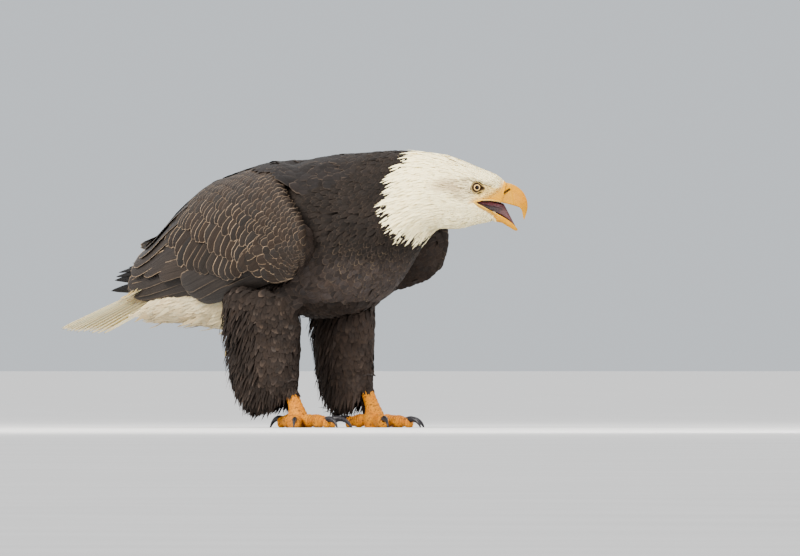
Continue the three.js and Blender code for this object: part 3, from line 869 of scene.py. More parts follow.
def lids(side):
    """The rim of bare skin round the eye, with a fold outside it."""
    turn, across = circle(96), len(LID_PLACES)
    rings = []
    for angle in turn:
        x, z = opening_edge(np.full(across, angle), LID_PLACES)
        brow = 0.8 * ease(3, 7, z)
        rings.append(np.stack([x, SIDES[side] * (LID_OUT + LID_RISES + brow), z], -1))
    faces = [ring_faces(len(turn), across), closing_faces(len(turn), across)]
    return at_head(np.array(rings)).reshape(-1, 3), [np.concatenate(faces)]


def closing_faces(rings, sides):
    """Quads that join the last ring to the first."""
    k = np.arange(sides)
    last = (rings - 1) * sides
    return np.stack([last + k, last + (k + 1) % sides, (k + 1) % sides, k], -1)


# Sections of the bill from the face to its tip, in the head's x and z: the ridge or keel, the
# cutting edge, and the half-width.
UPPER_BILL = np.array([
    (37, 9.4, 37, -22.6, 16.5), (46, 7.6, 46, -24.6, 15), (55, 5.2, 54, -26.8, 13),
    (64, 0.4, 60.5, -28.6, 11), (72, -7.5, 65.5, -30.4, 9), (77, -18.4, 68.5, -33.6, 7),
    (78.4, -28.3, 69.8, -36.8, 5), (77.4, -36.4, 70.7, -41.2, 3.4),
    (75.2, -43.6, 71.6, -45.8, 1.8), (73.2, -49, 72.4, -49.2, 0.6),
], float)
LOWER_BILL = np.array([
    (22, -50, 22, -36, 14.5), (31, -53, 31, -40.2, 13.6), (39.4, -55, 40, -45, 12),
    (46.3, -59.3, 48, -50, 10.2), (53.2, -63, 54.5, -55, 8), (58, -66, 59.5, -60, 5.6),
    (61, -66.6, 62.3, -63.6, 3), (62.6, -66, 63.2, -65.2, 0.8),
], float)
NOSTRIL = ((42.5, -7.9), (50.2, -3.0))

# The edge of the gape, from the upper bill round its corner to the lower bill: x and z.
GAPE = np.array([
    (44, -23.6), (36, -21.6), (27, -20.0), (16, -18.9), (6, -19.4), (-1.5, -20.6), (-4.6, -22.4),
    (-1.2, -24.9), (4, -27.4), (12, -31.6), (20, -36), (28, -40), (34, -43), (40, -46),
])
LIP_RADIUS = 1.05


def gape_line(side, t):
    """The edge of the mouth's corner, from the upper bill back and forward to the lower one."""
    x, z = along(GAPE, t).T
    clear = np.where(t < 0.48, 3.0, -3.0)
    out = np.array([abs(side_of_head(*p, SIDES[side])) for p in zip(x, z + clear)])
    bill = np.where(t < 0.5, np.interp(x, UPPER_BILL[:, 0], UPPER_BILL[:, 4]),
                    np.interp(x, LOWER_BILL[:, 0], LOWER_BILL[:, 4]))
    on_bill = np.where(t < 0.5, ease(30, 36, x), ease(16, 24, x))
    out = mix(out - 0.6, bill - 0.2, on_bill)
    smooth = np.convolve(np.pad(out, 4, "edge"), np.ones(9) / 9, "valid")
    return np.stack([x, SIDES[side] * smooth, z], -1)


def gape_lip(side):
    """The thick yellow edge of the mouth's corner."""
    t = np.linspace(0, 1, 80)
    line = gape_line(side, t)
    ahead = unit(np.gradient(line, axis=0))
    across = unit(np.cross(ahead, (0, SIDES[side], 0.0)))
    radius = LIP_RADIUS * np.clip(1 - (2 * t - 1) ** 6, 0.02, 1)
    angle = circle(16)
    rings = line[:, None] + (radius[:, None] * np.cos(angle))[..., None] * across[:, None]
    rings = rings + (radius[:, None] * np.sin(angle))[..., None] * np.cross(across, ahead)[:, None]
    return loft(at_head(rings))


def cloak_at(x):
    rows = along(CLOAK, np.linspace(0, 1, 600))
    return [np.interp(x, rows[:, 0], rows[:, n]) for n in range(1, 5)]


def on_wing(side, x, angle, inset=0.0):
    """A point of a wing: at x, `angle` degrees round the body, and `inset` under its surface."""
    x, angle, inset = np.broadcast_arrays(np.asarray(x, float), angle, inset)
    height, wide, tall, deep = cloak_at(x)
    c = power(np.cos(np.radians(angle)), CLOAK_SQUARENESS)
    s = power(np.sin(np.radians(angle)), CLOAK_SQUARENESS)
    y = SIDES[side] * np.maximum(wide - inset, 1) * c
    z = height + np.maximum(np.where(s > 0, tall, deep) - inset, 1) * s
    if side == "right":
        return np.stack([x, y, z], -1)
    pose = LEFT_WING
    long, up = turned(x * pose["stretch"], z - pose["height"], -pose["raised"])
    return np.stack([long, y, up + pose["height"]], -1) + pose["moved"]


def mirrored(points):
    """Points near the left wing, moved to where its mirror image, the right wing, has them."""
    pose = LEFT_WING
    x, y, z = np.moveaxis(points - pose["moved"], -1, 0)
    long, up = turned(x, z - pose["height"], pose["raised"])
    moved = np.stack([long / pose["stretch"], y, up + pose["height"]], -1)
    return mix(points, moved, ease(-14, 28, points[..., 1])[..., None])


def cloak_place(points):
    """Where points lie on the cloak: x, angle, and how far out, 1 being on it."""
    x = points[..., 0]
    height, wide, tall, deep = cloak_at(x)
    up = points[..., 2] - height
    across, upward = np.abs(points[..., 1]) / wide, up / np.where(up > 0, tall, deep)
    out = (across**CLOAK_SQUARENESS + np.abs(upward) ** CLOAK_SQUARENESS) ** (1 / CLOAK_SQUARENESS)
    bend = CLOAK_SQUARENESS / 2
    angle = np.degrees(np.arctan2(np.sign(up) * np.abs(upward) ** bend, across**bend))
    return x, angle, out


def wing_normal(side, x, angle):
    ahead = on_wing(side, x + 2, angle) - on_wing(side, x - 2, angle)
    upward = on_wing(side, x, angle + 1.5) - on_wing(side, x, angle - 1.5)
    return unit(np.cross(ahead, upward)) * -SIDES[side]


# The front edge of a folded wing: angle and x.
WING_FRONT = np.array([
    (-50, -47), (-44, -20), (-38, 1), (-32, 19), (-26, 33), (-20, 43), (-14, 48), (-8, 51), (-2, 53),
    (4, 52), (10, 46), (16, 34), (22, 19), (28, 4), (34, -8), (40, -18), (46, -28), (58, -45),
    (66, -56), (76, -80), (84, -100),
], float)
EDGE_ROUND = 11.0  # radius of the front edge


def front_of_wing(angle):
    return np.interp(angle, *WING_FRONT.T)


def rolled(side, x, angle, inset):
    """Lines on a wing, wrapped inwards round its front edge, and which way they face."""
    start = front_of_wing(angle) - EDGE_ROUND
    turn = ((x - start) / EDGE_ROUND).clip(0, 2.6)
    edge_x = np.minimum(x, start) + EDGE_ROUND * np.sin(turn)
    outward = wing_normal(side, edge_x, angle)
    ahead = unit(on_wing(side, edge_x + 2, angle) - on_wing(side, edge_x - 2, angle))
    up = outward * np.cos(turn)[..., None] + ahead * np.sin(turn)[..., None]
    line = on_wing(side, edge_x, angle, EDGE_ROUND * (1 - np.cos(turn)))
    return line - up * np.asarray(inset)[..., None], up


# The arm inside each wing: x, its lower and upper edge as angles, and its thickness.
ARM = np.array([
    (-225, -20, 66, 10), (-150, -34, 74, 16), (-95, -38, 72, 22), (-50, -38, 56, 32),
    (-18, -33, 36, 42), (6, -28, 20, 46), (26, -22, 11, 42), (40, -13, 6, 26),
], float)
ARM_DEPTH = 8  # how deep it lies under the wing's surface


def arm(side):
    rows = along(ARM, np.linspace(0, 1, 40))
    x, low, high, thick = (rows[:, n, None] for n in range(4))
    share = np.linspace(0, 1, 26)
    angles = low + (high - low) * share
    outer = on_wing(side, x, angles, ARM_DEPTH)
    depth = ARM_DEPTH + 1 + (thick - 2) * np.sin(np.pi * share) ** 0.5
    inner = on_wing(side, x, angles, depth)[:, ::-1]
    return loft(np.concatenate([outer, inner], 1))


# The bare shank: height, how far its middle lies behind the foot, half-length, half-width.
SHANK = np.array([
    (98, -34, 12, 9), (76, -26, 12, 9.5), (54, -14, 11.5, 9.5), (38, -6, 12, 10),
    (26, -1, 14, 12.5), (16, 0, 17, 16), (8, 0, 17, 16.5), (0, 0, 15, 15),
], float)


def foot_at(side, x, y, z):
    x, y, z = np.broadcast_arrays(x, y, z)
    return np.stack([FOOT_FORWARD[side] + x, SIDES[side] * (FOOT_OUT + y), z], -1)


def saw(value, sharp=0.22):
    """Overlapping plates: rises slowly and falls fast, once for each whole number."""
    part = value % 1
    return np.where(part < 1 - sharp, part / (1 - sharp), (1 - part) / sharp)


SHANK_PLATE, SHANK_PLATE_HIGH = 6.5, 0.9  # length and height of the plates on its front


def shank(side):
    rows = along(SHANK, np.linspace(0, 1, 90))
    angle = circle(48)
    z, x, long, wide = (rows[:, n, None] for n in range(4))
    front = ease(0.2, 0.9, np.cos(angle))
    plates = SHANK_PLATE_HIGH * (saw(z / SHANK_PLATE) - 0.5) * front * ease(4, 14, z)
    return loft(foot_at(side, x + (long + plates) * np.cos(angle), (wide + plates) * np.sin(angle), z))


TOE_RINGS, TOE_SIDES = 84, 32
TOE_START = 4  # from the middle of the foot
TOE_PLATES = (4.6, 4.2)  # length of the plates on a toe, at its root and at its end
TOE_PAD = 24  # length of the pads under it


def toe_frame(side, name):
    turn = math.radians(TOES[name][0][side])
    heading = np.array([math.cos(turn), SIDES[side] * math.sin(turn), 0])
    return heading, np.cross(heading, (0, 0, 1))


def toe_run(name):
    """The share along a toe, the distance from the foot's middle, and the plates' saw teeth."""
    t = np.linspace(0, 1, TOE_RINGS)[:, None]
    s = TOE_START + t * (TOES[name][1] + 2)
    return t, s, saw(s / mix(*TOE_PLATES, t))


def toe_crease_shade(name):
    """How much painted shade darkens each point of a toe, in the creases between the plates on its upper
    side.
    """
    t, _, plates = toe_run(name)
    top = ease(-0.5, 0.1, np.sin(circle(TOE_SIDES)))
    return 1 - 0.75 * ((plates < 0.36) * top * ease(0.3, 0.5, t) * ease(1.0, 0.96, t)).reshape(-1, 1)


def toe(side, name):
    """A toe: pads flat on the floor, creases between them, and raised plates near its end."""
    heading, across = toe_frame(side, name)
    _, length, thick, _ = TOES[name]
    t, s, plates = toe_run(name)
    angle = circle(TOE_SIDES)
    top = ease(-0.1, 0.8, np.sin(angle))
    below = ease(0.0, -0.8, np.sin(angle))
    pads = np.cos(2 * np.pi * round(length / TOE_PAD) * t)
    end = np.sqrt(np.clip(1 - ((t - 0.9) / 0.11).clip(0) ** 2, 0.04, 1))
    raised = ease(0.6, 0.68, t) * ease(0.99, 0.93, t)
    radius = mix(thick + 1.4, thick - 0.6, t) * (1 + 0.09 * pads) * end
    radius = radius + top * (1.7 * raised + 0.5 * (1 - raised)) * (plates - 0.5)
    radius = radius + below * 0.7 * (pads - 0.2)
    height = mix(thick + 2.6, thick - 1.2, t) + 1.6 * np.sin(np.pi * t)
    middle = foot_at(side, 0.0, 0.0, 0.0)
    points = middle + s[..., None] * heading + (radius * np.cos(angle))[..., None] * across
    points[..., 2] = np.maximum(height + 1.08 * radius * np.sin(angle), 0)
    return loft(points)


def skin_groups():
    """The skin's parts: body and head, arms, lids, lips, and last the legs, ending in the toes."""
    core = shrink(body_mesh, lambda p: coat_depth(p) + NECK_IN * ease(-60, -20, in_head(p)[:, 0]))
    legs = [shank(side) for side in SIDES] + [toe(side, name) for side in SIDES for name in TOES]
    by_side = [[make(side) for side in SIDES] for make in (arm, lids, gape_lip)]
    return [[core, sculpted_face()], *by_side, legs]


CREASE = np.array([0.75, 0.55, 0.4])  # what the light loses between the plates of the toes


def colour_skin(points, ends):
    """The skin's tint. `ends` is where each of its groups ends."""
    arms, trims, lips, legs = (slice(*pair) for pair in zip(ends[:-1], ends[1:]))
    tint = skin_tint(points)
    tint[arms] = BROWN * 0.6
    tint[trims] = painted(LID_INSIDE, LID * 1.1, ease(1.05, 1.6, eye_distance(in_head(points[trims]))))
    tint[lips] = LIP
    tint[legs] = LEG
    # Painted shade in the creases between the plates on the toes' upper sides.
    lines = np.concatenate([toe_crease_shade(name) for _ in SIDES for name in TOES])
    tint[-len(lines):] *= mix(CREASE, 1.0, lines) * lines
    return tint


def unwrap(piece):
    """Gives a piece its OFBake map."""
    bpy.context.view_layer.objects.active = piece
    piece.select_set(True)
    piece.data.uv_layers.new(name="OFBake")
    bpy.ops.object.mode_set(mode="EDIT")
    bpy.ops.mesh.select_all(action="SELECT")
    bpy.ops.uv.smart_project(angle_limit=math.radians(75), island_margin=0.002)
    bpy.ops.object.mode_set(mode="OBJECT")
    piece.select_set(False)


def make_skin():
    groups = skin_groups()
    points, faces = joined([part for group in groups for part in group])
    ends = np.cumsum([sum(len(p) for p, _ in group) for group in groups])
    mesh = new_mesh("skin", points, faces)
    set_tint(mesh, colour_skin(points, ends))
    set_values(mesh, "scales", "FLOAT", np.arange(len(points)) >= ends[-2])
    skin = new_object("skin", mesh)
    unwrap(skin)
    return finish_piece(skin, skin_paint(), [*FLESH, *WINGS, *FEET])


SCALE_DENSITY = 420.0  # scales in a metre
SCALE_HIGH = 0.0006  # metres


def skin_paint():
    """Bare skin: scaled and glossy on the feet, creased and duller elsewhere."""
    paint = Paint("skin", specular=0.12)
    place = paint.place()
    scales = paint.attribute("scales", "Fac")
    plates = paint.cells(place, SCALE_DENSITY)
    edges = paint.cells(place, SCALE_DENSITY, "DISTANCE_TO_EDGE")
    blotch = paint.noise(place, 70.0, 3.0)
    specks = paint.ramp(paint.noise(place, 280.0, 1.0), 0.61, 0.66)
    tint = paint.tint()
    warm = paint.blend(paint.ramp(blotch, 0.35, 0.7, 0.0, 0.45), tint, LEG_BLOTCH)
    warm = paint.blend(scales, tint, warm)
    # Painted shade: the creases between the scales on the feet are darkened.
    crease = paint.ramp(edges, 0.0, 0.12, 0.55, 1.0)
    shade = paint.blend(scales, (1, 1, 1), paint.grey(crease))
    colour = paint.blend(1.0, warm, shade, "MULTIPLY")
    dark = paint.times(paint.times(specks, scales), 0.8)
    paint.set("Base Color", paint.blend(dark, colour, LEG_SPECK))
    height = paint.math("ADD", paint.ramp(edges, 0.0, 0.25), plates)
    paint.bump(paint.times(height, paint.times_plus(scales, 0.8, 0.2)), SCALE_HIGH)
    paint.set("Roughness", paint.ramp(blotch, 0.3, 0.7, 0.42, 0.6))
    return paint.material


skin = make_skin()
skin_surface = Surface(skin.data)


def skin_uv(roots):
    """Each root's place on the skin's own unwrap."""
    _, _, nearest = skin_surface.nearest(roots)
    uv = fetched(skin.data.uv_layers["OFBake"].data, "uv", 2)
    return uv[fetched(skin.data.polygons, "loop_start", kind=np.int32)[nearest]]


# ---------------------------------------------------------------- coat

def spread(count, amount):
    return 1 + rng.normal(0, amount, count)


def dappled(colour, count, light=0.1, warm=0.03):
    """`count` versions of a colour, some lighter and some warmer."""
    shades = np.asarray(colour) * spread(count, light)[:, None].clip(0.6, 1.5)
    return shades * (1 + rng.normal(0, warm, count)[:, None] * np.array([1, 0, -1.2]))


def mottled(points, amount=0.2, size=24.0):
    """Slow changes of shade over the body, as a factor for each root."""
    x, y, z = points.T / size
    wave = np.sin(1.3 * x + 2.1 * np.sin(0.9 * z)) + np.sin(1.7 * z - 1.4 * y + np.sin(1.1 * x))
    return 1 + amount * wave[:, None] / 2


def coat(name, surface, roots, flow, paint, *, length, width, depth, lift, kind, tints, edges=None,
         slot="brown_plumage", ring=6, stations=7, ragged=0.05, roll=0.1, camber=0.07, thick=0.4,
         hang=-2.0):
    """A piece of feathers that grow from `roots` and lie along `flow`."""
    count = len(roots)
    length = np.broadcast_to(length, count) * spread(count, 0.07)
    line, up = trace(surface, roots, flow, length, stations, hang)
    line = raise_tips(line, up, np.broadcast_to(depth, count), np.broadcast_to(lift, count))
    made = vanes(line, up, np.broadcast_to(width, count) * spread(count, 0.08), kind, ring=ring,
                 camber=camber, thick=thick, roll=rng.normal(0, roll, count), ragged=ragged)
    edges = tints if edges is None else edges
    return feather_piece(name, made, skin_uv(roots), tints, edges, paint)


def body_flow(points):
    """The lie of the coat: backwards along the body's own line, and a little downwards."""
    points = points.reshape(-1, 3)
    ways = -axis_ways[axis_index(points)]
    side = ease(60, 0, points[:, 2] - 300)
    droop = 0.28 * ease(240, 120, points[:, 0]) * side
    return unit(ways - droop[:, None] * (0, 0, 1))


def head_flow(points):
    """On the head the coat also parts round the eyes and falls away from the bill."""
    local = in_head(points)
    x, z = local[:, 0], local[:, 2]
    away = unit(np.stack([x, 0 * x, z], -1))
    part = bell(np.hypot(x, z), 14)[:, None] * away * 0.7
    down = 0.12 * ease(20, -20, z)[:, None] * np.array([0, 0, -1.0])
    ways = np.array([-1.0, 0, 0]) + part + down
    ways = np.stack([*turned(ways[:, 0], ways[:, 1], HEAD_TURN), ways[:, 2]], -1)
    return unit(mix(body_flow(points), unit(ways), ease(-50, -20, x)[:, None]))


BILL_BASE = at_head((40.0, 0.0, -8.0))
REACHES = [0, 22, 45, 75, 110, 150]  # millimetres from the base of the bill


def behind_bill(points, values):
    """What `values` gives for each of REACHES, at points between them."""
    return np.interp(np.linalg.norm(points - BILL_BASE, axis=-1), REACHES, values)


def bare_face(points):
    """Where nothing grows: round the eyes, under the brows, along the gape, and on the bill."""
    local = in_head(points)
    x, z = local[:, 0], local[:, 2]
    out = np.abs(local[:, 1]) > 12
    eye = (eye_distance(local) < 2.7) & out
    brow = out & (x > -10) & (x < 26) & (z < brow_line(x) - 0.3) & (z > brow_line(x) - 4.5)
    yellow = (x > -6) & (z < height_on(CERE_EDGE, x) - 2) & (z > height_on(CHIN_EDGE, x) + 0.5)
    bill = (x > 41) | ((x > 33) & (z < -30))
    return eye | brow | yellow | bill


FACE_SPACINGS = [1.2, 1.4, 1.9, 2.7, 3.4, 4.0]  # between roots, for each of REACHES
NECK_SPACINGS = [3, 3, 3, 3.2, 3.6, 3.9]
CHIN_SPACING = 1.5
HEAD_COAT_END, NECK_COAT_START = -62, -56  # in the head's own x, so that they overlap
CHEEK_STREAKS = 0.26  # share of the feathers round the eye that are darker
SMALL_WHITE = {
    "kind": POINTED, "slot": "white_plumage", "ring": 4, "stations": 5, "ragged": 0.06, "roll": 0.15,
    "thick": 0.25,
}


def head_coat(paint):
    def wanted(points, normals):
        return (white_neck(points) > -6) & ~bare_face(points) & (in_head(points)[:, 0] > HEAD_COAT_END)

    roots = face.scatter(wanted, lambda p: behind_bill(p, FACE_SPACINGS))
    x, y, z = in_head(roots).T
    count = len(roots)
    lore = ease(2, 10, x) * ease(14, 4, z)
    tints = skin_tint(roots) * spread(count, 0.04)[:, None]
    below = z < height_on(LOWER_GAPE, x) - 1
    tints[below] = WHITE * spread(below.sum(), 0.04)[:, None]
    streaked = np.hypot(x + 4, z * 1.3) < 26
    streaked &= rng.random(count) < CHEEK_STREAKS
    return coat(
        "plumage_head", face, roots, head_flow, paint,
        length=behind_bill(roots, [3.4, 7.0, 12, 20, 32, 42]) * mix(1, 0.6, lore),
        width=behind_bill(roots, [1.2, 1.9, 2.8, 4.0, 5.2, 6.2]),
        depth=behind_bill(roots, [0.8, 1.2, 2.0, 4, 6, 7]),
        lift=behind_bill(roots, [0.1, 0.15, 0.3, 0.6, 1.2, 2]) * rng.random(count),
        tints=painted(tints, SMUDGE * 0.8, 0.55 * streaked * (np.abs(y) > 14)), **SMALL_WHITE,
    )


def chin_coat(paint):
    """Feathers that overlap the base of the lower bill."""
    surface = surface_of(loft(at_head(bill_half(LOWER_BILL, 60, 40))))

    def wanted(points, normals):
        x, _, z = in_head(points).T
        return (z < height_on(CHIN_EDGE, x) - 0.5) & (x < 31)

    roots = surface.scatter(wanted, CHIN_SPACING)
    tints = dappled(WHITE, len(roots), 0.04, 0.01)
    return coat("plumage_chin", surface, roots, head_flow, paint, length=8.0, width=2.0, depth=0.8,
                lift=0.1 + 0.4 * rng.random(len(roots)), tints=tints, **SMALL_WHITE)


def neck_coat(paint):
    def wanted(points, normals):
        behind = in_head(points)[:, 0] <= NECK_COAT_START
        return (white_neck(points) > -2) & behind & (points[:, 0] > 120)

    roots = under.scatter(wanted, lambda p: behind_bill(p, NECK_SPACINGS))
    tints = dappled(WHITE, len(roots), 0.03, 0.01)
    return coat(
        "plumage_neck", under, roots, body_flow, paint,
        length=behind_bill(roots, [20, 20, 22, 28, 40, 46]),
        width=behind_bill(roots, [4, 4, 4.2, 4.8, 6.0, 6.8]),
        depth=behind_bill(roots, [4, 4, 5, 6, 8, 9]),
        lift=0.3 + 3.0 * rng.random(len(roots)) ** 3, kind=POINTED, tints=tints,
        slot="white_plumage", ragged=0.08, roll=0.2, thick=0.35,
    )


wing_surfaces = [surface_of(node_part(f"wing_{s}"), node_part(f"secondaries_{s}")) for s in SIDES]
HIDDEN_ROUND = ((0, 0, 0), (34, 0, 0), (0, 0, -24))  # a wing hides a place if it hides all these


def covered(points):
    """Whether a wing hides the body here, with its surroundings."""
    hidden = np.ones(len(points), bool)
    for shift in HIDDEN_ROUND:
        hit = np.zeros(len(points), bool)
        for n, p in enumerate((points + shift).tolist()):
            way = Vector((0, 1 if p[1] > 0 else -1, 0))
            hit[n] = any(w.tree.ray_cast(Vector(p), way)[0] is not None for w in wing_surfaces)
        hidden &= hit
    return hidden


def trunk_flow(points):
    points = points.reshape(-1, 3)
    breast = ease(40, 110, points[:, 0]) * ease(330, 290, points[:, 2])
    return unit(body_flow(points) - 0.35 * breast[:, None] * (0, 0, 1))


def is_thigh(points):
    """Below the belly and round either leg."""
    return points[:, 2] < mix(205, 226, ease(10, -40, points[:, 0]))


BREAST_SPACING, BELLY_SPACING = 4.8, 7.8


def belly_share(points):
    """0 on the breast, 1 on the belly."""
    return ease(110, 40, points[:, 0] + 0.5 * (points[:, 2] - 260))


def on_trunk(points, normals):
    """Where the coat of the breast, sides and belly grows."""
    back = (points[:, 2] > 304) & on_back(points, 5)
    near = (white_neck(points) < -8) & (points[:, 0] > -215) & ~is_thigh(points) & ~back
    near &= ~((points[:, 0] < -140) & (points[:, 2] < 235))
    kept = np.flatnonzero(near)
    near[kept] = ~covered(points[kept])
    return near


def trunk_coat(paint):
    """The breast, sides and belly: fine feathers in front, larger ones behind."""
    roots = under.scatter(on_trunk, lambda p: mix(BREAST_SPACING, BELLY_SPACING, belly_share(p)))
    belly = belly_share(roots)
    for name, chosen in (("breast", belly < 0.5), ("belly", belly >= 0.5)):
        some, share = roots[chosen], belly[chosen]
        count = len(some)
        x, _, z = some.T
        low = ease(330, 250, z)[:, None]
        front = (ease(50, 100, x) * ease(325, 280, z))[:, None]
        # Painted light: lower down and further forward the brown turns to the lighter belly brown,
        # standing in for light from below.
        underside_light = (ease(300, 230, z) * ease(-10, 60, x))[:, None]
        tints = dappled(1, count, 0.2) * mix(CHEST, BELLY, underside_light) * mottled(some)
        pale = rng.random((count, 1)) ** 3 * (0.1 + 0.9 * front)
        edges = mix(tints, mix(dappled(BROWN_EDGE, count, 0.25), BREAST_EDGE, 0.8 * pale),
                    (0.3 + 0.5 * low) * ease(-20, 40, x)[:, None])
        coat(
            f"plumage_{name}", under, some, trunk_flow, paint, length=mix(27, 42, share),
            width=mix(7.4, 18, share), depth=mix(6, 8, share),
            lift=0.3 + mix(0.9, 1.4, share) * rng.random(count) ** 3, kind=OVAL, tints=tints,
            edges=edges, camber=0.1, ragged=0.07, ring=4 if name == "breast" else 6,
        )


# Where the long feathers of the back stop over each wing: x, and the angle round the body.
MANTLE_EDGE = np.array([
    (-225, 84), (-120, 82), (-90, 76), (-55, 63), (-20, 54), (8, 48), (36, 48), (60, 53), (84, 63),
    (100, 72), (114, 86), (118, 95),
], float)
CLEAR = 1.02  # how far outside the wings the back's feathers are kept
BACK_ENDS = -296  # x of their hindmost roots


def on_back(points, margin=0.0):
    """Where the long feathers of the back grow: `margin` degrees above their lower edge, both on
    the trunk and on the nearer wing."""
    inside = np.ones(len(points), bool)
    for place in (points, mirrored(points)):
        x, angle, _ = cloak_place(place)
        inside &= angle > np.interp(x, *MANTLE_EDGE.T) + margin
    return inside


def over_wings(points):
    """Points of the back, held a little outside the wings."""
    place = mirrored(points)
    x, angle, out = cloak_place(place)
    middle = np.stack([x, 0 * x, cloak_at(x)[0]], -1)
    front = front_of_wing(angle)
    share = ease(front + 36, front - 4, x) * ease(15, 40, angle)
    factor = (np.maximum(1, CLEAR / out) - 1) * share
    return points + (place - middle) * factor[..., None]


def facing_out(points, faces):
    """The faces on the back that face outwards, and all faces elsewhere."""
    corners = points[faces]
    facing = np.cross(corners[:, 2] - corners[:, 0], corners[:, -1] - corners[:, 1])
    place = mirrored(corners.mean(1))
    x, angle, _ = cloak_place(place)
    middle = np.stack([x, 0 * x, cloak_at(x)[0]], -1)
    return faces[(dot(facing, place - middle)[:, 0] > 0) | (angle < 15)]


def back_surface():
    """The body with its wings, smooth and without gaps above."""
    points, faces = mesh_part(shoulder_mesh)
    pushed = over_wings(points)
    return surface_of((pushed, [facing_out(pushed, f) for f in faces]), tail_part)


over = back_surface()


BETWEEN_WINGS = (8, 28)  # half the mantle's width between the wings, at its rear and further on
MANTLE_SPACING = (9.5, 5.4)  # on the back and on the hind neck


def on_mantle(points, normals):
    """Where the long feathers of the back grow: down to a frayed edge at its rear."""
    x = points[:, 0]
    from_middle = np.abs(points[:, 1] - LEFT_WING["moved"][1] / 2)
    between_wings = (from_middle < mix(*BETWEEN_WINGS, ease(-300, -215, x))) & (x < 100)
    ends = BACK_ENDS + 2.4 * from_middle + 9 * np.sin(points[:, 1] / 5)
    near = (white_neck(points) < -8) & (x > ends) & (points[:, 2] > 280)
    return near & (normals[:, 2] > 0) & (on_back(points) | between_wings)


def mantle_coat(paint):
    roots = over.scatter(on_mantle, lambda p: mix(*MANTLE_SPACING, ease(50, 115, p[:, 0])))
    count = len(roots)
    x = roots[:, 0]
    tints = dappled(1, count, 0.12) * mix(BACK, CHEST, ease(60, 120, x)[:, None])
    size = mix(1.0, 0.55, ease(50, 118, x))
    pale = rng.random((count, 1)) ** 2
    edges = mix(dappled(BROWN_EDGE, count, 0.15) * 0.7, COVERT_EDGE, 0.14 * pale)
    rear = ease(-130, -230, x)
    tints = painted(tints, dappled(COVERT, count, 0.12) * 1.15, rear)
    edges = painted(edges, dappled(COVERT_EDGE, count, 0.15) * 0.8, rear)
    line, up = trace(over, roots, body_flow, 50 * size * spread(count, 0.07), 7)
    line = raise_tips(line, up, np.full(count, 5.0), 0.3 + 0.7 * rng.random(count))
    made = vanes(line, up, 20 * size, ROUND, camber=0.1, roll=rng.normal(0, 0.04, count))
    return feather_piece("plumage_back", made, skin_uv(roots), tints, edges, paint)


def thigh_flow(points):
    points = points.reshape(-1, 3)
    top = ease(170, 230, points[:, 2])[:, None]
    foot = np.where(points[:, 1] < 0, FOOT_FORWARD["right"], FOOT_FORWARD["left"])
    back = ease(20, -60, points[:, 0] - foot)[:, None]
    down = mix(np.array([0.02, 0, -1.0]), np.array([-0.3, 0, -1.0]), back)
    return unit(mix(unit(down), np.array([-0.8, 0, -0.6]), top))


# Painted light and shade: each side's brown is scaled, lighter on the far (left) thigh, which the lamps
# light less, and darker on the near (right) one.
TROUSER_PAINTED_LIGHT = {"right": 0.74, "left": 1.5}
THIGH_SPACING = (5.2, 3.8)  # at the top and at the foot
ANKLE_FRONT, ANKLE_HIGH = -28, 98  # the thigh's bare lower edge, ahead of and below these
SHAGGY_FROM = 0.3  # how loose the coat is where the shaggy feathers start


def thigh_coat(side, paint):
    """Smooth feathers on the upper thigh and its front, loose ones below and behind."""
    def wanted(points, normals):
        x, y, z = points.T
        near = is_thigh(points) & (y * SIDES[side] > 0) & (x > -175) & ~((x < -150) & (z > 150))
        under_edge = (x > FOOT_FORWARD[side] + ANKLE_FRONT) & (z < ANKLE_HIGH) & (normals[:, 2] < -0.12)
        return near & ~under_edge

    roots = under.scatter(wanted, lambda p: mix(*THIGH_SPACING, ease(120, 50, p[:, 2])))
    low = ease(110, 50, roots[:, 2])
    back = ease(-30, -75, roots[:, 0] - FOOT_FORWARD[side]) * ease(225, 165, roots[:, 2])
    loose = np.maximum(0.5 * low, back)
    rough = loose + 0.15 * rng.random(len(roots)) > SHAGGY_FROM
    for name, chosen, shaggy in (("thigh_plumage", ~rough, False), ("trousers", rough, True)):
        some, low_here, loose_here, back_here = (v[chosen] for v in (roots, low, loose, back))
        count = len(some)
        light = 0.2 + 0.5 * (rng.random((count, 1)) < 0.15)
        # Painted light and shade: the brown is scaled by side, lighter on the far thigh.
        tints = dappled(BROWN * TROUSER_PAINTED_LIGHT[side], count, 0.14) * mottled(some)
        longer = 12 * loose_here * rng.random(count) ** 2
        longer += 9 * low_here * (1 - back_here) * rng.random(count)
        coat(
            f"{name}_{side}", under, some, thigh_flow, paint, length=mix(28, 26, low_here) + longer,
            width=mix(7.0, 4.4, np.maximum(low_here, loose_here)) if shaggy else 9.5,
            depth=mix(6, 2.5, low_here),
            lift=0.4 + (0.6 + 9 * back_here + low_here) * rng.random(count) ** 2.5,
            kind=SHAGGY if shaggy else OVAL, tints=tints,
            edges=mix(tints, dappled(BROWN_EDGE, count, 0.2), light),
            ragged=0.1, roll=0.25 if shaggy else 0.12, ring=4, hang=-0.3,
        )


SOCK_TOP, SOCK_EDGE, SOCK_END = 92, 60, 46  # heights of its top, its lowest roots and its end
SOCK_SPACING = 2.3


def sock_flow(points):
    return np.broadcast_to((0.1, 0, -1.0), points.reshape(-1, 3).shape)


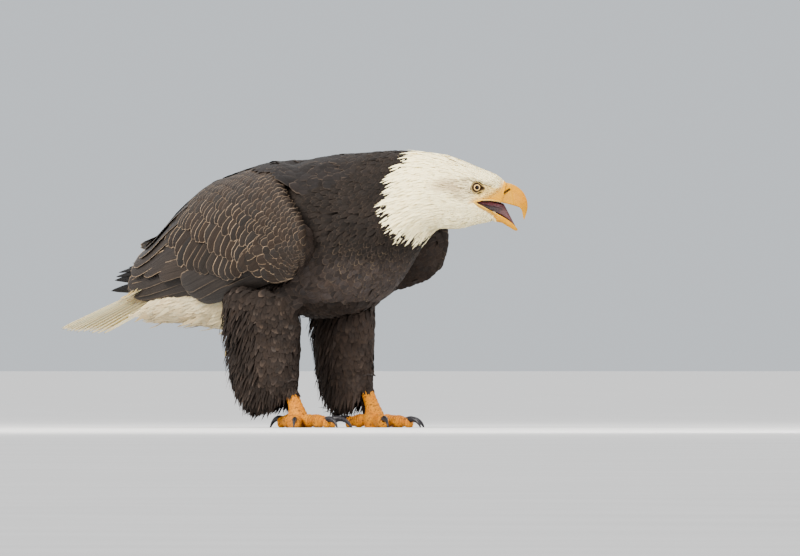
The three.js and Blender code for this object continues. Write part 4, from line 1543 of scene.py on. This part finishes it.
def sock(side, paint):
    """Short feathers on the upper shank."""
    surface = surface_of(shank(side))

    def wanted(points, normals):
        return (points[:, 2] > SOCK_EDGE) & (points[:, 2] < SOCK_TOP)

    roots = surface.scatter(wanted, SOCK_SPACING)
    count = len(roots)
    reach = roots[:, 2] - SOCK_END + rng.normal(0, 2.5, count)
    # Painted light and shade: the brown is scaled by side, as on the thighs.
    return coat(
        f"sock_{side}", surface, roots, sock_flow, paint, length=np.minimum(reach, 26), width=4.6,
        depth=1.0, lift=1.0 + 2.0 * rng.random(count), kind=SHAGGY,
        tints=dappled(BROWN * TROUSER_PAINTED_LIGHT[side], count, 0.13),
        edges=dappled(mix(BROWN, BROWN_EDGE, 0.5), count, 0.25), ragged=0.1, roll=0.2, ring=4,
    )


UNDERTAIL_SPACING = 5.2
WISPS = 0.05  # share of the lowest feathers that stand out


def undertail_flow(points):
    points = points.reshape(-1, 3)
    hang = ease(-230, -170, points[:, 0])[:, None] * ease(190, 160, points[:, 2])[:, None]
    return unit(TAIL_WAY + hang * np.array([0.1, 0, -0.8]))


def undertail_coat(paint):
    def wanted(points, normals):
        x, y, z = points.T
        near = (x < -138) & (x > -335) & (z < 240) & (normals[:, 2] < 0.35)
        return near & (np.abs(y) < 62) & ((x < -150) | (z > 150))

    roots = under.scatter(wanted, UNDERTAIL_SPACING)
    count = len(roots)
    x, _, z = roots.T
    low = ease(225, 175, z)
    stained = (0.2 + 0.8 * low * ease(-170, -230, x)) * rng.random(count) ** 1.5
    # Painted shade: the undertail's white is darkened to 0.62, as it lies under the body.
    tints = painted(dappled(mix(WHITE, CREAM, 0.8) * 0.62, count, 0.07), STAIN, 0.75 * stained)
    wisps = rng.random(count) < WISPS * low
    return coat(
        "plumage_undertail", under, roots, undertail_flow, paint,
        length=mix(48, 40, ease(-270, -330, x)) + 14 * wisps, width=7.5, depth=7,
        lift=0.3 + 0.9 * rng.random(count) ** 2 + 9 * wisps, kind=SHAGGY, tints=tints,
        slot="white_plumage", ragged=0.1, roll=0.2, ring=4,
    )


# ---------------------------------------------------------------- wings

# Where the coverts lie. Each row crosses from the upper and front edge of the wing, x and
# angle, to where the tips of the greater coverts are.
COVERT_LINES = np.array([
    (-215, 88, -322, 48), (-190, 87, -300, 38), (-165, 85, -278, 19), (-140, 83, -252, 5),
    (-112, 78, -222, -4), (-85, 70, -190, -14), (-55, 60, -150, -21), (-22, 47, -116, -26),
    (8, 34, -88, -24), (36, 20, -72, -14), (50, 8, -62, -24), (55, -3, -34, -28),
    (50, -13, 0, -27), (40, -20, 22, -25),
], float)
# Rows of coverts: where their tips lie along those lines, how many there are, and how light
# their edges are.
COVERT_ROWS = [
    (0.06, 46, 0.15), (0.12, 47, 0.2), (0.19, 47, 0.3), (0.26, 46, 0.4), (0.34, 45, 0.5),
    (0.43, 44, 0.6), (0.53, 42, 0.7), (0.65, 39, 0.8), (0.8, 34, 0.9), (1.0, 29, 1.0),
]
# How steeply the coverts point down from straight back: x, angle, degrees.
COVERT_HEADINGS = np.array([
    (-270, 30, 35), (-245, 12, 32), (-205, 0, 40), (-165, -10, 52), (-120, -14, 58), (-85, -15, 62),
    (-220, 28, 58), (-180, 35, 60), (-180, 14, 50), (-140, 12, 45), (-150, 50, 30), (-100, 5, 34),
    (-70, 20, 18), (-55, -4, 34), (-45, -16, 0), (-40, -28, -3), (-10, -9, -3), (-10, -27, 0),
    (15, -22, 10), (5, 2, 22), (-30, 15, 17), (15, 15, 22), (45, 0, 28), (42, -12, 16),
    (-100, 60, 15), (-200, 70, 14), (-280, 60, 14), (-320, 40, 20), (-20, 45, 16),
], float)
PER_DEGREE = 2.1  # millimetres round the wing for each degree
HEADING_REACH = 20  # millimetres over which a heading blends into the next
# Flight feathers, each lying under the next one: x and angle of the root, x and angle of
# the tip, and width.
FLIGHT_FEATHERS = np.array([
    (-150, -38, -378, -42, 26), (-150, -31, -386, -32, 28), (-155, -22, -391, -21, 30),
    (-160, -12, -393, -9, 30), (-165, -3, -392, 3, 30), (-190, 90, -340, 90, 46),
    (-195, 85, -358, 86, 50), (5, -30, -221, -49, 24), (-60, -12, -233, -35, 34),
    (-90, -8, -238, -23, 34), (-140, -8, -299, -1, 30), (-160, 0, -346, 12, 32),
    (-170, 14, -380, 22, 32), (-175, 28, -376, 36, 34), (-180, 42, -366, 50, 38),
    (-180, 58, -360, 64, 40), (-185, 74, -366, 78, 40),
], float)
LEFT_TERTIALS = 36  # how much further back the left wing's uppermost feathers reach
PRIMARY_ROOTS = -250
PRIMARY_TIPS = np.array([  # x, angle and width
    (-440, -18, 20), (-446, -9, 20), (-440, 0, 20), (-434, 20, 20), (-430, 28, 20), (-424, 38, 20),
], float)


def covert_place(c, f):
    """x and angle at the share `c` across the covert lines and `f` along them."""
    start_x, start_angle, end_x, end_angle = np.moveaxis(along(COVERT_LINES, c), -1, 0)
    return mix(start_x, end_x, f), mix(start_angle, end_angle, f)


def covert_heading(x, angle):
    """How far the coverts point below straight back, in radians."""
    apart = np.stack([x, angle * PER_DEGREE], -1)[:, None] - COVERT_HEADINGS[:, :2] * (1, PER_DEGREE)
    weight = np.exp(-(apart**2).sum(-1) / HEADING_REACH**2 / 2) + 1e-9
    return np.radians((weight * COVERT_HEADINGS[:, 2]).sum(1) / weight.sum(1))


def covert_lines(x, angle, length):
    """Lines back from the tips of coverts to their roots, then turned to run to the tips."""
    rows = [(x, angle)]
    for step in np.diff(STATIONS[7])[::-1]:
        heading = covert_heading(x, angle)
        x = x + np.cos(heading) * step * length
        angle = angle + np.sin(heading) * step * length / PER_DEGREE
        rows.append((x, angle))
    rows = np.array(rows[::-1])
    return rows[:, 0].T, rows[:, 1].T


SCATTER = 0.12  # how far coverts stray from their rows, as a share of the gaps
CLOSE_ROWS = 6  # millimetres between rows so close that only some of their feathers are kept
KEPT_WHEN_CLOSE = 0.45


def covert_row(side, row, before):
    """One row of coverts: their places across and along, widths, lengths and lights."""
    tip, count, light = COVERT_ROWS[row]
    c = (np.arange(count) + 0.5 * (row % 2) + 0.25) / count + rng.normal(0, SCATTER, count) / count
    f = tip + rng.normal(0, SCATTER, count) * (tip - before)
    c = c.clip(0, 1)
    spot = on_wing(side, *covert_place(c, f))
    beside = on_wing(side, *covert_place((c + 0.01).clip(0, 1), f))
    beside -= on_wing(side, *covert_place((c - 0.01).clip(0, 1), f))
    gap = np.linalg.norm(beside, axis=-1) / 0.02 / count
    row_gap = np.linalg.norm(spot - on_wing(side, *covert_place(c, f - tip + before)), axis=-1)
    width, length = (gap * 1.65).clip(8, 25), (row_gap * 2.2 + 9).clip(17, 76)
    return c, f, width, length, np.where(row_gap < CLOSE_ROWS, -1, light)


def covert_places(side):
    """Where the coverts of a wing lie, and their widths, lengths and lights."""
    starts = [0.0, *(tip for tip, _, _ in COVERT_ROWS)]
    rows = [covert_row(side, row, starts[row]) for row in range(len(COVERT_ROWS))]
    c, f, width, length, light = (np.concatenate(v) for v in zip(*rows))
    kept = (light >= 0) | (rng.random(len(light)) < KEPT_WHEN_CLOSE)
    return [v[kept] for v in (c, f, width, length, np.maximum(light, 0.5))]


def coverts(side, paint):
    t = STATIONS[7]
    c, f, width, length, light = covert_places(side)
    x, angle = covert_lines(*covert_place(c, f), length)
    inset = (length / 11)[:, None] * (1 - ease(0, 0.85, t)) - 0.9 * t**3
    line, up = rolled(side, x, angle, inset)
    count = len(line)
    low = ease(-5, -12, angle[:, -1]) * ease(-85, -65, x[:, -1])
    roll = mix(0.1, -0.08, low) * -SIDES[side] + rng.normal(0, 0.02, count)
    slate = rng.random((count, 1)) * 0.9
    tints = mix(dappled(COVERT, count, 0.16), dappled(SLATE, count, 0.1), slate)
    tints = painted(dappled(BROWN, count, 0.1), tints, 0.3 + 0.7 * light)
    pale = light * (1 - 0.75 * rng.random(count) ** 1.3)
    edges = painted(dappled(BROWN_EDGE, count, 0.1), dappled(COVERT_EDGE, count, 0.2), pale)
    made = vanes(line, up, width, ROUND, camber=0.1, roll=roll, ragged=0.02)
    roots = skin_uv(line[:, 0])
    return feather_piece(f"coverts_{side}", made, roots, tints, edges, paint)


LINING_SPACING = 6.0


def wing_lining(side, paint):
    """Small feathers on the front edge and the inner side of the wing."""
    surface = Surface(remeshed([f"wing_{side}"], voxel=3.0, smoothing=10))
    way = unit(np.array([-1.0, -0.45 * SIDES[side], -0.5]))

    def flow(points):
        return np.broadcast_to(way, points.reshape(-1, 3).shape)

    def wanted(points, normals):
        return (normals[:, 1] * SIDES[side] < 0.1) & (points[:, 0] > -60) & (normals[:, 2] < 0.85)

    roots = surface.scatter(wanted, LINING_SPACING)
    count = len(roots)
    return coat(
        f"wing_lining_{side}", surface, roots, flow, paint, length=26.0, width=13.5, depth=4,
        lift=0.2 + 0.4 * rng.random(count), kind=ROUND, tints=dappled(BROWN * 1.15, count, 0.14),
        edges=dappled(mix(BROWN, BROWN_EDGE, 0.5), count, 0.15), roll=0.05,
    )


def large_feathers(name, made, tints, edges, paint, node):
    """A piece of few feathers, each with a cell of a grid as its patch of the OFBake map."""
    count = len(tints)
    wide = math.ceil(math.sqrt(count * 4))
    cell = np.array([1 / wide, 1 / math.ceil(count / wide)])
    k = np.arange(count)
    places = (np.stack([k % wide, k // wide], -1) + 0.5) * cell
    return feather_piece(name, made, places, tints, edges, paint, [node], cell * 0.9)


def flight(side, paint):
    """The secondaries and the tertials over them."""
    t = STATIONS[12]
    root_x, root_angle, tip_x, tip_angle = FLIGHT_FEATHERS[:, :4, None].transpose(1, 0, 2)
    width, tip = FLIGHT_FEATHERS[:, 4], FLIGHT_FEATHERS[:, 3]
    count = len(width)
    x = mix(root_x, tip_x, t)
    if side == "left":
        x = x - LEFT_TERTIALS * ease(0, 80, tip)[:, None] * t
    angle = mix(root_angle, tip_angle, t)
    inset = 9 * (1 - ease(0.2, 0.9, t)) + 4.5 - 0.65 * np.arange(count)[:, None]
    line, up = on_wing(side, x, angle, inset), wing_normal(side, x, angle)
    tints = dappled(FLIGHT, count, 0.06)
    edges = np.where((tip > 5)[:, None], dappled(mix(FLIGHT, COVERT_EDGE, 0.75), count, 0.05),
                     mix(FLIGHT, COVERT_EDGE, 0.35))
    made = vanes(line, up, width, LONG, camber=0.09, thick=0.7, skew=0.25 * SIDES[side],
                 roll=SIDES[side] * 0.05, ragged=0.02)
    return large_feathers(f"flight_feathers_{side}", made, tints, edges, paint,
                          f"secondaries_{side}")


def primaries(side, paint):
    """The long feathers of the wing's tip."""
    t = STATIONS[12]
    tip_x, tip_angle, width = PRIMARY_TIPS.T
    count = len(width)
    x = mix(PRIMARY_ROOTS, tip_x[:, None], t)
    angle = mix(tip_angle[:, None] * 0.9, tip_angle[:, None], t)
    inset = mix(20, 6, t) - 0.8 * np.arange(count)[:, None]
    line, up = on_wing(side, x, angle, inset), wing_normal(side, x, angle)
    tints = dappled(BLACK, count, 0.08)
    made = vanes(line, up, width, POINTED, camber=0.12, thick=0.7, ragged=0.03)
    return large_feathers(f"primaries_feathers_{side}", made, tints, tints * 1.3, paint,
                          f"primaries_{side}")


def rectrices(paint):
    """The tail: a fan, its middle feathers a little above the outer ones."""
    t = STATIONS[12]
    fan = 2 * ((np.arange(TAIL_FEATHERS) + 0.5) / TAIL_FEATHERS)[:, None] - 1
    length = TAIL_LENGTH * (1 - 0.04 * fan**2) * (1 + rng.normal(0, 0.008, fan.shape))
    line = TAIL_ROOT + (length * t)[..., None] * TAIL_WAY
    line[..., 1] += mix(*TAIL_HALF, t) * fan * 0.93
    line[..., 2] += -4 * fan**2 - 3.5 * fan * t + 1.6 * (1 - np.abs(fan))
    up = np.cross(TAIL_WAY, (0, 1.0, 0))
    up = np.broadcast_to(up * np.sign(up[2]), line.shape)
    made = vanes(line, up, np.full(TAIL_FEATHERS, 20.0), LONG, camber=0.1, thick=0.8, ragged=0.02,
                 roll=0.1)
    tints = dappled(mix(CREAM, WHITE, 0.9), TAIL_FEATHERS, 0.02)
    return large_feathers("tail_feathers", made, tints, mix(tints, STAIN, 0.35), paint,
                          "tail")


# ---------------------------------------------------------------- bill, mouth and eyes

BILL_WALL = 1.1  # thickness of the horn at its cutting edges
BILL_HOLLOW = 4.0  # how deep the mouth side is hollowed


def bill_half(stations, count, sides):
    """Rings of a bill half: an arch from one cutting edge over its ridge to the other, and back
    through its hollow side."""
    rows = along(stations, np.linspace(0, 1, count))
    ridge, edge, half = rows[:, None, 0:2], rows[:, None, 2:4], rows[:, None, 4]
    outer = np.linspace(0, np.pi, sides)
    inner = np.linspace(np.pi, 0, sides // 2)[1:-1]
    tall = np.linalg.norm(ridge - edge, axis=-1)
    arch = np.broadcast_to(np.sin(outer) ** 0.85, (count, sides))
    hollow = np.minimum(0.5, BILL_HOLLOW / tall) * np.sin(inner)
    rise = np.concatenate([arch, hollow], 1)
    over = half * np.sign(np.cos(outer)) * np.abs(np.cos(outer)) ** 0.8
    under = np.maximum(half - BILL_WALL, half * 0.4) * np.cos(inner)
    place = edge + rise[..., None] * (ridge - edge)
    return np.stack([place[..., 0], np.concatenate([over, under], 1), place[..., 1]], -1)


def make_bill(name, rings, colour, replaced, paint):
    mesh = new_mesh(name, *loft(at_head(rings)))
    set_tint(mesh, colour(rings.reshape(-1, 3)))
    return add_piece(name, mesh, paint, [replaced])


def bill_paint():
    paint = Paint("bill", specular=0.07, coat_weight=0.02, coat_roughness=0.25)
    place = paint.place()
    grain = paint.noise(paint.scaled(place, (60.0, 60.0, 160.0)), 3.0, 4.0)
    wear = paint.noise(place, 90.0, 4.0)
    light = paint.ramp(paint.math("ADD", grain, wear), 0.7, 1.3, 0.84, 1.08)
    paint.set("Base Color", paint.shaded(paint.tint(), light))
    paint.set("Roughness", paint.ramp(wear, 0.3, 0.7, 0.28, 0.44))
    paint.bump(paint.math("ADD", grain, paint.times(wear, 0.5)), 0.0003, 0.5)
    return paint.material


CERE_SLANT = 0.12  # how much further ahead the cere ends for each millimetre down
CERE_END = 55.5
CERE_SWELL = 0.035
NOSTRIL_DEEP, NOSTRIL_RIM = 2.6, 0.25


def cere_place(x, z):
    """How far ahead a place lies, measured square to the cere's front edge."""
    return x + CERE_SLANT * (z + 10)


def upper_colour(points, inside):
    """The tint of the upper bill. `inside` is which points lie in its hollow."""
    x, y, z = points.T
    far = ease(60, 80, x - 0.25 * (z + 20))
    tint = painted(HORN, HORN_TIP, 0.7 * ease(-20, -48, z))
    tint = painted(tint, HORN_FRONT, 0.5 * far * ease(-35, -10, z))
    # Painted shade: the cere on the horn is a darker copy of its colour, to match the skin's cere beside
    # it, which lies in shade.
    tint = painted(tint, CERE * 0.78, ease(57.5, 53, cere_place(x, z)))
    # Painted shade inside the nostril's slit.
    tint = painted(tint, NOSTRIL_SHADE, ease(1.9, 1.2, from_line(x, z, *NOSTRIL)) * (np.abs(y) > 3))
    tint[np.tile(inside, len(points) // len(inside))] = mix(MOUTH, CERE, 0.15)
    return tint


def upper_bill(paint):
    sides = 72
    rings = bill_half(UPPER_BILL, 130, sides)
    x, y, z = np.moveaxis(rings, -1, 0)
    outside = np.arange(rings.shape[1]) < sides
    near = from_line(x, z, *NOSTRIL)
    beside = (np.abs(y) > 4) * outside
    slit = ease(2.2, 1.0, near) * beside
    rim = bell(near - 2.7, 0.9) * beside
    cere = ease(CERE_END, CERE_END - 1.5, cere_place(x, z)) * outside
    y = y * (1 + CERE_SWELL * cere) - np.sign(y) * (NOSTRIL_DEEP * slit - NOSTRIL_RIM * rim)
    rings = np.stack([x, y, z], -1)
    return make_bill("bill_upper_horn", rings, lambda p: upper_colour(p, ~outside), "bill_upper", paint)


def lower_bill(paint):
    sides = 56
    rings = bill_half(LOWER_BILL, 90, sides)

    def colour(points):
        tint = painted(mix(HORN, CERE, 0.5), HORN_TIP, ease(50, 62, points[:, 0]))
        inside = np.arange(rings.shape[1]) >= sides
        tint[np.tile(inside, len(rings))] = MOUTH
        return tint

    return make_bill("bill_lower_horn", rings, colour, "bill_lower", paint)


# The flesh of the mouth: points along the palate and along the floor, and half-widths.
MOUTH_LINES = np.array([
    (-4, -22, -4, -24, 20), (8, -20.5, 6, -31, 19), (20, -20.5, 20, -38, 14),
    (32, -22, 35, -45, 11), (39, -24, 47, -51.5, 8), (41.5, -25.4, 55, -58, 6),
    (43.5, -28.5, 61, -62.5, 3),
], float)


def mouth_tint(local):
    """A mauve palate, darker below it, and a dull red floor towards the tip."""
    x, _, z = local.T
    depth = -20 - z - 0.12 * x
    tint = painted(PALATE, BELOW_PALATE, ease(2, 7, depth))
    tint = painted(tint, TONGUE, ease(24, 44, x) * ease(4, 16, depth))
    return painted(tint, TONGUE_TIP, 0.6 * ease(44, 58, x + 0.45 * (z + 60)))


def mouth_paint():
    paint = Paint("mouth", specular=0.2, roughness=0.4, coat_weight=0.06, coat_roughness=0.2)
    folds = paint.noise(paint.scaled(paint.place(), (90.0, 90.0, 520.0)), 1.6, 4.0)
    paint.set("Base Color", paint.shaded(paint.tint(), paint.ramp(folds, 0.3, 0.7, 0.55, 1.3)))
    paint.bump(folds, 0.0008, 0.8)
    return paint.material


def mouth_lining(paint):
    rows = along(MOUTH_LINES, np.linspace(0, 1, 48))
    top, bottom, half = rows[:, None, 0:2], rows[:, None, 2:4], rows[:, None, 4]
    angle = circle(48)
    height = np.sin(angle) / 2
    folds = 1 - 0.22 * np.cos(angle * 2) ** 2 * (1 - np.abs(height)) - 0.05 * np.sin(height * 30)
    place = (top + bottom) / 2 + height[:, None] * (top - bottom)
    rings = np.stack([place[..., 0], half * np.cos(angle) * folds, place[..., 1]], -1)
    mesh = new_mesh("mouth_lining", *loft(at_head(rings)))
    set_tint(mesh, mouth_tint(rings.reshape(-1, 3)))
    return add_piece("mouth_lining", mesh, paint, ["tongue"])


def eye_paint():
    """Rings of colour by the distance in millimetres from the eye's own axis."""
    paint = Paint("eye", specular=0.05, roughness=0.3, coat_weight=0.05, coat_roughness=0.03)
    radius, turn, _ = paint.split(paint.attribute("iris"))
    streaks = paint.noise(paint.join(paint.times(turn, 9.0), radius, 0.0), 2.4, 3.0)
    colour = paint.blend(paint.ramp(streaks, 0.3, 0.7), IRIS, IRIS_STREAK)
    for start, end, ring in ((4.3, 4.8, IRIS_RIM), (3.75, 3.35, IRIS_INNER), (3.5, 3.3, PUPIL)):
        colour = paint.blend(paint.ramp(radius, start, end), colour, ring)
    paint.set("Base Color", colour)
    return paint.material


def eye(side, paint):
    """An eyeball that looks straight out to its side."""
    lean = np.linspace(0.02, np.pi - 0.02, 64)[:, None]
    angle = circle(64)
    out = np.cos(lean) + 0 * angle
    disc = np.sin(lean)
    points = np.stack([disc * np.cos(angle), out * SIDES[side], disc * np.sin(angle)], -1) * EYE_RADIUS
    points[..., 1] += SIDES[side] * EYE_OUT
    mesh = new_mesh(f"eyeball_{side}", *loft(at_head(points)))
    shown = np.where(out > 0, disc, 2 - disc) * EYE_RADIUS
    values = np.stack([shown, np.broadcast_to(np.abs(angle - np.pi), shown.shape), 0 * shown], -1)
    set_values(mesh, "iris", "FLOAT_VECTOR", values.reshape(-1, 3))
    return add_piece(f"eyeball_{side}", mesh, paint, [f"eye_{side}"])


# ---------------------------------------------------------------- claws

CLAW_SWEEP = math.radians(118)
CLAW_RISE = math.radians(34)
CLAW_ROOT, CLAW_TIP = 5.4, 0.4  # radii
UPWARDS = np.array([0, 0, 1.0])


def claw(side, name, paint):
    """A claw that rises from its toe's end and sweeps over and down."""
    heading, across = toe_frame(side, name)
    _, length, thick, arc = TOES[name]
    t = np.linspace(0, 1, 40)
    pitch = CLAW_RISE - CLAW_SWEEP * t
    step = arc / (len(t) - 1)
    middle = (pitch[1:] + pitch[:-1]) / 2
    s = length - 3 + np.concatenate([[0], np.cumsum(np.cos(middle) * step)])
    z = thick + 1.6 + np.concatenate([[0], np.cumsum(np.sin(middle) * step)])
    radius = mix(CLAW_ROOT, CLAW_TIP, t**1.15)[:, None]
    angle = circle(24)
    over_way = -np.sin(pitch)[:, None] * heading + np.cos(pitch)[:, None] * UPWARDS
    line = foot_at(side, 0.0, 0.0, 0.0) + s[:, None] * heading + z[:, None] * UPWARDS
    rise = 1.12 * radius * np.sin(angle)
    wide = 0.86 * radius * np.cos(angle) * (1 + 0.08 * np.cos(3 * angle))
    points = line[:, None] + rise[..., None] * over_way[:, None] + wide[..., None] * across
    points[..., 2] = points[..., 2].clip(0)
    replaced = f"claw_{name}_{side}"
    mesh = new_mesh(replaced, *loft(points))
    return add_piece(f"talon_{name}_{side}", mesh, paint, [replaced])


def claw_paint():
    paint = Paint("claw", specular=0.16, coat_weight=0.05, coat_roughness=0.2)
    place = paint.place()
    lines = paint.noise(paint.scaled(place, (300.0, 300.0, 60.0)), 2.0, 4.0)
    wear = paint.noise(place, 160.0, 4.0)
    paint.set("Base Color", paint.blend(paint.ramp(lines, 0.35, 0.75), CLAW, CLAW_WORN))
    paint.set("Roughness", paint.ramp(wear, 0.3, 0.7, 0.28, 0.5))
    paint.bump(lines, 0.0002, 0.6)
    return paint.material


# ---------------------------------------------------------------- floor, light and camera

CAMERA_OFF = 40.0  # metres: the picture was taken from far away
CAMERA_HIGH = 0.096  # the horizon lies this far above the soles
CAMERA_YAW = math.radians(40)
LOOK_AT = (0.1859, 0.0591, 0.2318)
PICTURE_WIDE = 1.24  # metres across the picture at the bird
SENSOR = 36

FLOOR_RADIUS = 400.0
SKY_FROM, SKY_TO = 0.06, 0.5  # the studio dome brightens between these heights
HORIZON_LIGHT = (0.72, 0.77, 0.82)
SKY_LIGHT = (2.4, 2.4, 2.4)
LIGHTS = {  # place in metres, width, watts, colour
    "key": ((-0.2, -2.9, 2.3), 1.6, 310, (1.0, 0.95, 0.87)),
    "fill": ((3.0, -1.2, 1.0), 2.0, 110, (1.0, 0.98, 0.95)),
    "top": ((0.0, 0.6, 3.0), 2.4, 45, (1, 1, 1)),
}
LIT_AT = (0, 0, 0.22)  # where the lights point


def add_to_scene(name, data, place):
    added = bpy.data.objects.new(name, data)
    added.location = place
    bpy.context.scene.collection.objects.link(added)
    return added


def stage():
    paint = Paint("floor", roughness=0.85)
    cloud = paint.noise(paint.place(), 3.0, 4.0)
    paint.set("Base Color", paint.grey(paint.ramp(cloud, 0.3, 0.7, 0.42, 0.46)))
    angle = circle(64)
    rim = np.stack([np.cos(angle), np.sin(angle), 0 * angle], -1) * FLOOR_RADIUS
    floor = new_object("floor", new_mesh("floor", (rim - ORIGIN) / MM, [np.arange(64)[None]]))
    floor.data.materials.append(paint.material)


def area_light(name, place, size, watts, colour):
    light = bpy.data.lights.new(name, "AREA")
    light.shape = "DISK"
    light.size = size
    light.energy = watts
    light.color = colour
    lamp = add_to_scene(name, light, place)
    lamp.rotation_mode = "QUATERNION"
    lamp.rotation_quaternion = (Vector(LIT_AT) - Vector(place)).to_track_quat("-Z", "Y")


def studio():
    """A dome of light, dimmer towards the horizon."""
    world = bpy.data.worlds.new("studio")
    world.use_nodes = True
    sky = Nodes(world.node_tree, "Background")
    _, _, height = sky.split(sky.coordinates("Generated"))
    rise = sky.node("MapRange", {0: height, 1: SKY_FROM, 2: SKY_TO}).outputs[0]
    sky.set("Color", sky.blend(rise, HORIZON_LIGHT, SKY_LIGHT))
    bpy.context.scene.world = world


def photograph():
    """The camera, as far off and as low as the photograph's."""
    lens = bpy.data.cameras.new("camera")
    lens.lens = CAMERA_OFF / PICTURE_WIDE * SENSOR
    lens.sensor_width = SENSOR
    lens.clip_end = FLOOR_RADIUS * 2
    way = Vector((math.sin(CAMERA_YAW), -math.cos(CAMERA_YAW), 0))
    camera = add_to_scene("camera", lens, Vector(LOOK_AT) + way * CAMERA_OFF)
    camera.location.z = CAMERA_HIGH
    pitch = math.atan((LOOK_AT[2] - CAMERA_HIGH) / CAMERA_OFF)
    camera.rotation_euler = (math.pi / 2 + pitch, 0, CAMERA_YAW)
    bpy.context.scene.camera = camera


# ---------------------------------------------------------------- the bird

white_paint = feather_paint("white_feathers", 0.7, end=0.3, rim=0.9, streaks=0.1, glow=0.25)
breast_paint = feather_paint("breast_feathers", 0.7, end=0.55, rim=0.82, streaks=0.28, tipped=0.25)
back_paint = feather_paint("back_feathers", 0.65, end=0.8, rim=0.84, streaks=0.3)
covert_paint = feather_paint("wing_coverts", 0.6, end=0.8, rim=0.86, streaks=0.3)
flight_paint = feather_paint("flight_vanes", 0.5, end=0.88, rim=0.9, streaks=0.25)
leg_paint = feather_paint("leg_feathers", 0.7, end=0.45, rim=0.62, streaks=0.2, tipped=0.8)

head_coat(white_paint)
chin_coat(white_paint)
neck_coat(white_paint)
trunk_coat(breast_paint)
mantle_coat(back_paint)
undertail_coat(white_paint)
rectrices(white_paint)
for side in SIDES:
    thigh_coat(side, leg_paint)
    sock(side, leg_paint)
    coverts(side, covert_paint)
    wing_lining(side, back_paint)
    flight(side, flight_paint)
    primaries(side, flight_paint)

horn_paint = bill_paint()
upper_bill(horn_paint)
lower_bill(horn_paint)
mouth_lining(mouth_paint())
eyes_paint = eye_paint()
claws_paint = claw_paint()
for side in SIDES:
    eye(side, eyes_paint)
    for toe_name in TOES:
        claw(side, toe_name, claws_paint)

stage()
studio()
for name, (place, size, watts, colour) in LIGHTS.items():
    area_light(name, place, size, watts, colour)
photograph()
